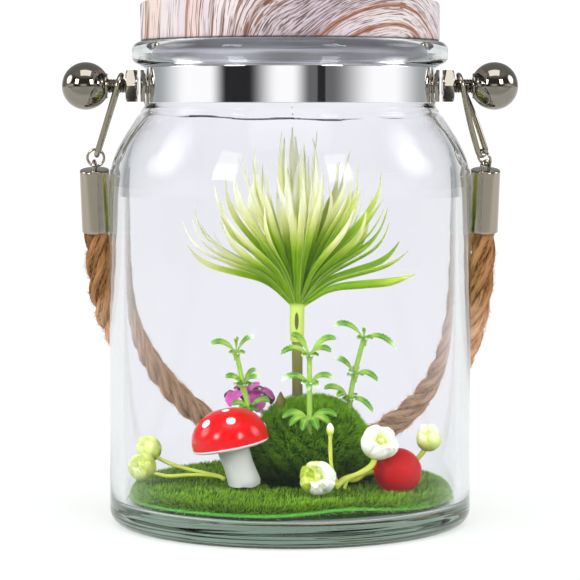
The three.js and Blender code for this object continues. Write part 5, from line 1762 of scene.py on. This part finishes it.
def card_material(strength):
    """A black card that glows in its middle and fades to its edge."""
    paint = Paint("soft_card")
    away = paint.add("VectorMath", {"operation": "LENGTH"}, paint.place(), output=1) / SOFT_CARD
    glow = paint.mix(away.within(0.2, 1.0), WHITE, BLACK)
    return paint.finish(Base_Color=BLACK, Roughness=1.0, Specular_IOR_Level=0.0,
                        Emission_Color=glow, Emission_Strength=strength)


def disc(name, radius, material, place=(0, 0, 0), target=None):
    """A flat round stage piece."""
    mesh = bpy.data.meshes.new(name)
    ring = radius * polar(1, circle(96), 0)
    mesh.from_pydata(ring.tolist(), [], [list(range(96))])
    mesh.materials.append(material)
    piece = stand(name, mesh, place, target)
    return piece


def make_sky():
    """The room that glass and metal mirror. In front: a bright strip at eye level with dark gaps, and
    a grey room above it. Behind: white that turns grey at a slant and higher up."""
    world = bpy.data.worlds.new("sky")
    sky = Paint("sky", world)
    way = sky.add("TexCoord")
    across, ahead, above = (sky.add("SeparateXYZ", None, way, output=index) for index in range(3))
    azimuth = across.math("ARCTAN2", ahead * -1) * (360 / TAU)
    shade = 0.0
    for start, full, ending, end, depth in SHADES:
        gap = azimuth.within(start, full) * (1 - azimuth.within(ending, end)) * depth
        shade = gap.math("MAXIMUM", shade)
    strip = sky.mix(shade, WHITE, ink(*SHADE_COLOUR))
    room = sky.mix(above.within(0.5, 0.8), ink(*ROOM_LOW), ink(*ROOM_HIGH))
    front = sky.mix(above.within(0.1, 0.2), strip, room)
    aside = across.math("ABSOLUTE").math("ARCTAN2", ahead) * (360 / TAU)
    start, full, ending, end = BACK_SLANT
    grey = aside.within(start, full) * (1 - aside.within(ending, end))
    clear = (1 - grey) * (1 - above.within(*BACK_TALL))
    back = sky.mix(clear, ink(*BACK_COLOUR), WHITE)
    tint = sky.mix(ahead.within(-0.2, 0.1), front, back)
    sky.add("OutputWorld", None, sky.add("Background", None, tint, 1.05))
    return world


class JAR_OT_stage(Operator):
    """Sets the camera, the pale floor, the soft lights and the room that polished metal mirrors"""

    bl_idname = "jar.stage"
    bl_label = "Stage"

    def execute(self, context):
        look = context.scene.jar_stage
        set_camera(context.scene)
        disc("floor", FLOOR_R, floor_material(look))
        soft = card_material(look.softbox)
        for name, place in SOFT_PLACES:
            disc(name, SOFT_CARD, soft, place, LOOK_AT).visible_camera = False
        for name, place, wide, tall, watts in LAMPS:
            lamp = bpy.data.lights.new(name, "AREA")
            lamp.shape = "RECTANGLE"
            lamp.size, lamp.size_y = wide, tall
            lamp.energy = watts
            stand(name, lamp, place, LOOK_AT)
        context.scene.world = make_sky()
        return {"FINISHED"}


class JAR_PT_panel(Panel):
    """Each group of settings, with the buttons that build its pieces"""

    bl_label = "Planted Glass Jar"
    bl_idname = "JAR_PT_panel"
    bl_space_type = "VIEW_3D"
    bl_region_type = "UI"
    bl_category = "Glass Jar"

    def draw(self, context):
        for group, operators in PANEL_ROWS:
            box = self.layout.box()
            settings = getattr(context.scene, group)
            for key in settings.bl_rna.properties.keys():
                if key not in ("rna_type", "name"):
                    box.prop(settings, key)
            for operator in operators:
                box.operator(operator.bl_idname)


PANEL_ROWS = [
    ("jar_stage", [JAR_OT_stage]),
    ("jar_handle", [JAR_OT_handle, JAR_OT_band]),
    ("jar_glass", [JAR_OT_glass]),
    ("jar_lid", [JAR_OT_lid]),
    ("jar_garden", [JAR_OT_ground, JAR_OT_tuft, JAR_OT_sprigs, JAR_OT_flower, JAR_OT_mushroom,
                    JAR_OT_buds]),
]
GROUPS = {
    "jar_stage": StageSettings,
    "jar_handle": HandleSettings,
    "jar_glass": GlassSettings,
    "jar_lid": LidSettings,
    "jar_garden": GardenSettings,
}
OPERATORS = [operator for _, operators in PANEL_ROWS for operator in operators]


def register():
    """Registers the classes, and puts each group of settings on the scene."""
    for cls in [*GROUPS.values(), *OPERATORS, JAR_PT_panel]:
        bpy.utils.register_class(cls)
    for name, group in GROUPS.items():
        setattr(bpy.types.Scene, name, PointerProperty(type=group))


def unregister():
    """Takes the settings and the classes away."""
    for name in GROUPS:
        delattr(bpy.types.Scene, name)
    for cls in reversed([*GROUPS.values(), *OPERATORS, JAR_PT_panel]):
        bpy.utils.unregister_class(cls)


def main():
    """Builds everything."""
    register()
    bpy.ops.jar.stage()
    bpy.ops.jar.handle()
    bpy.ops.jar.band()
    bpy.ops.jar.glass()
    bpy.ops.jar.lid()
    bpy.ops.jar.ground()
    bpy.ops.jar.tuft()
    bpy.ops.jar.sprigs()
    bpy.ops.jar.flower()
    bpy.ops.jar.mushroom()
    bpy.ops.jar.buds()
    bpy.context.view_layer.update()


if __name__ == "__main__":
    main()
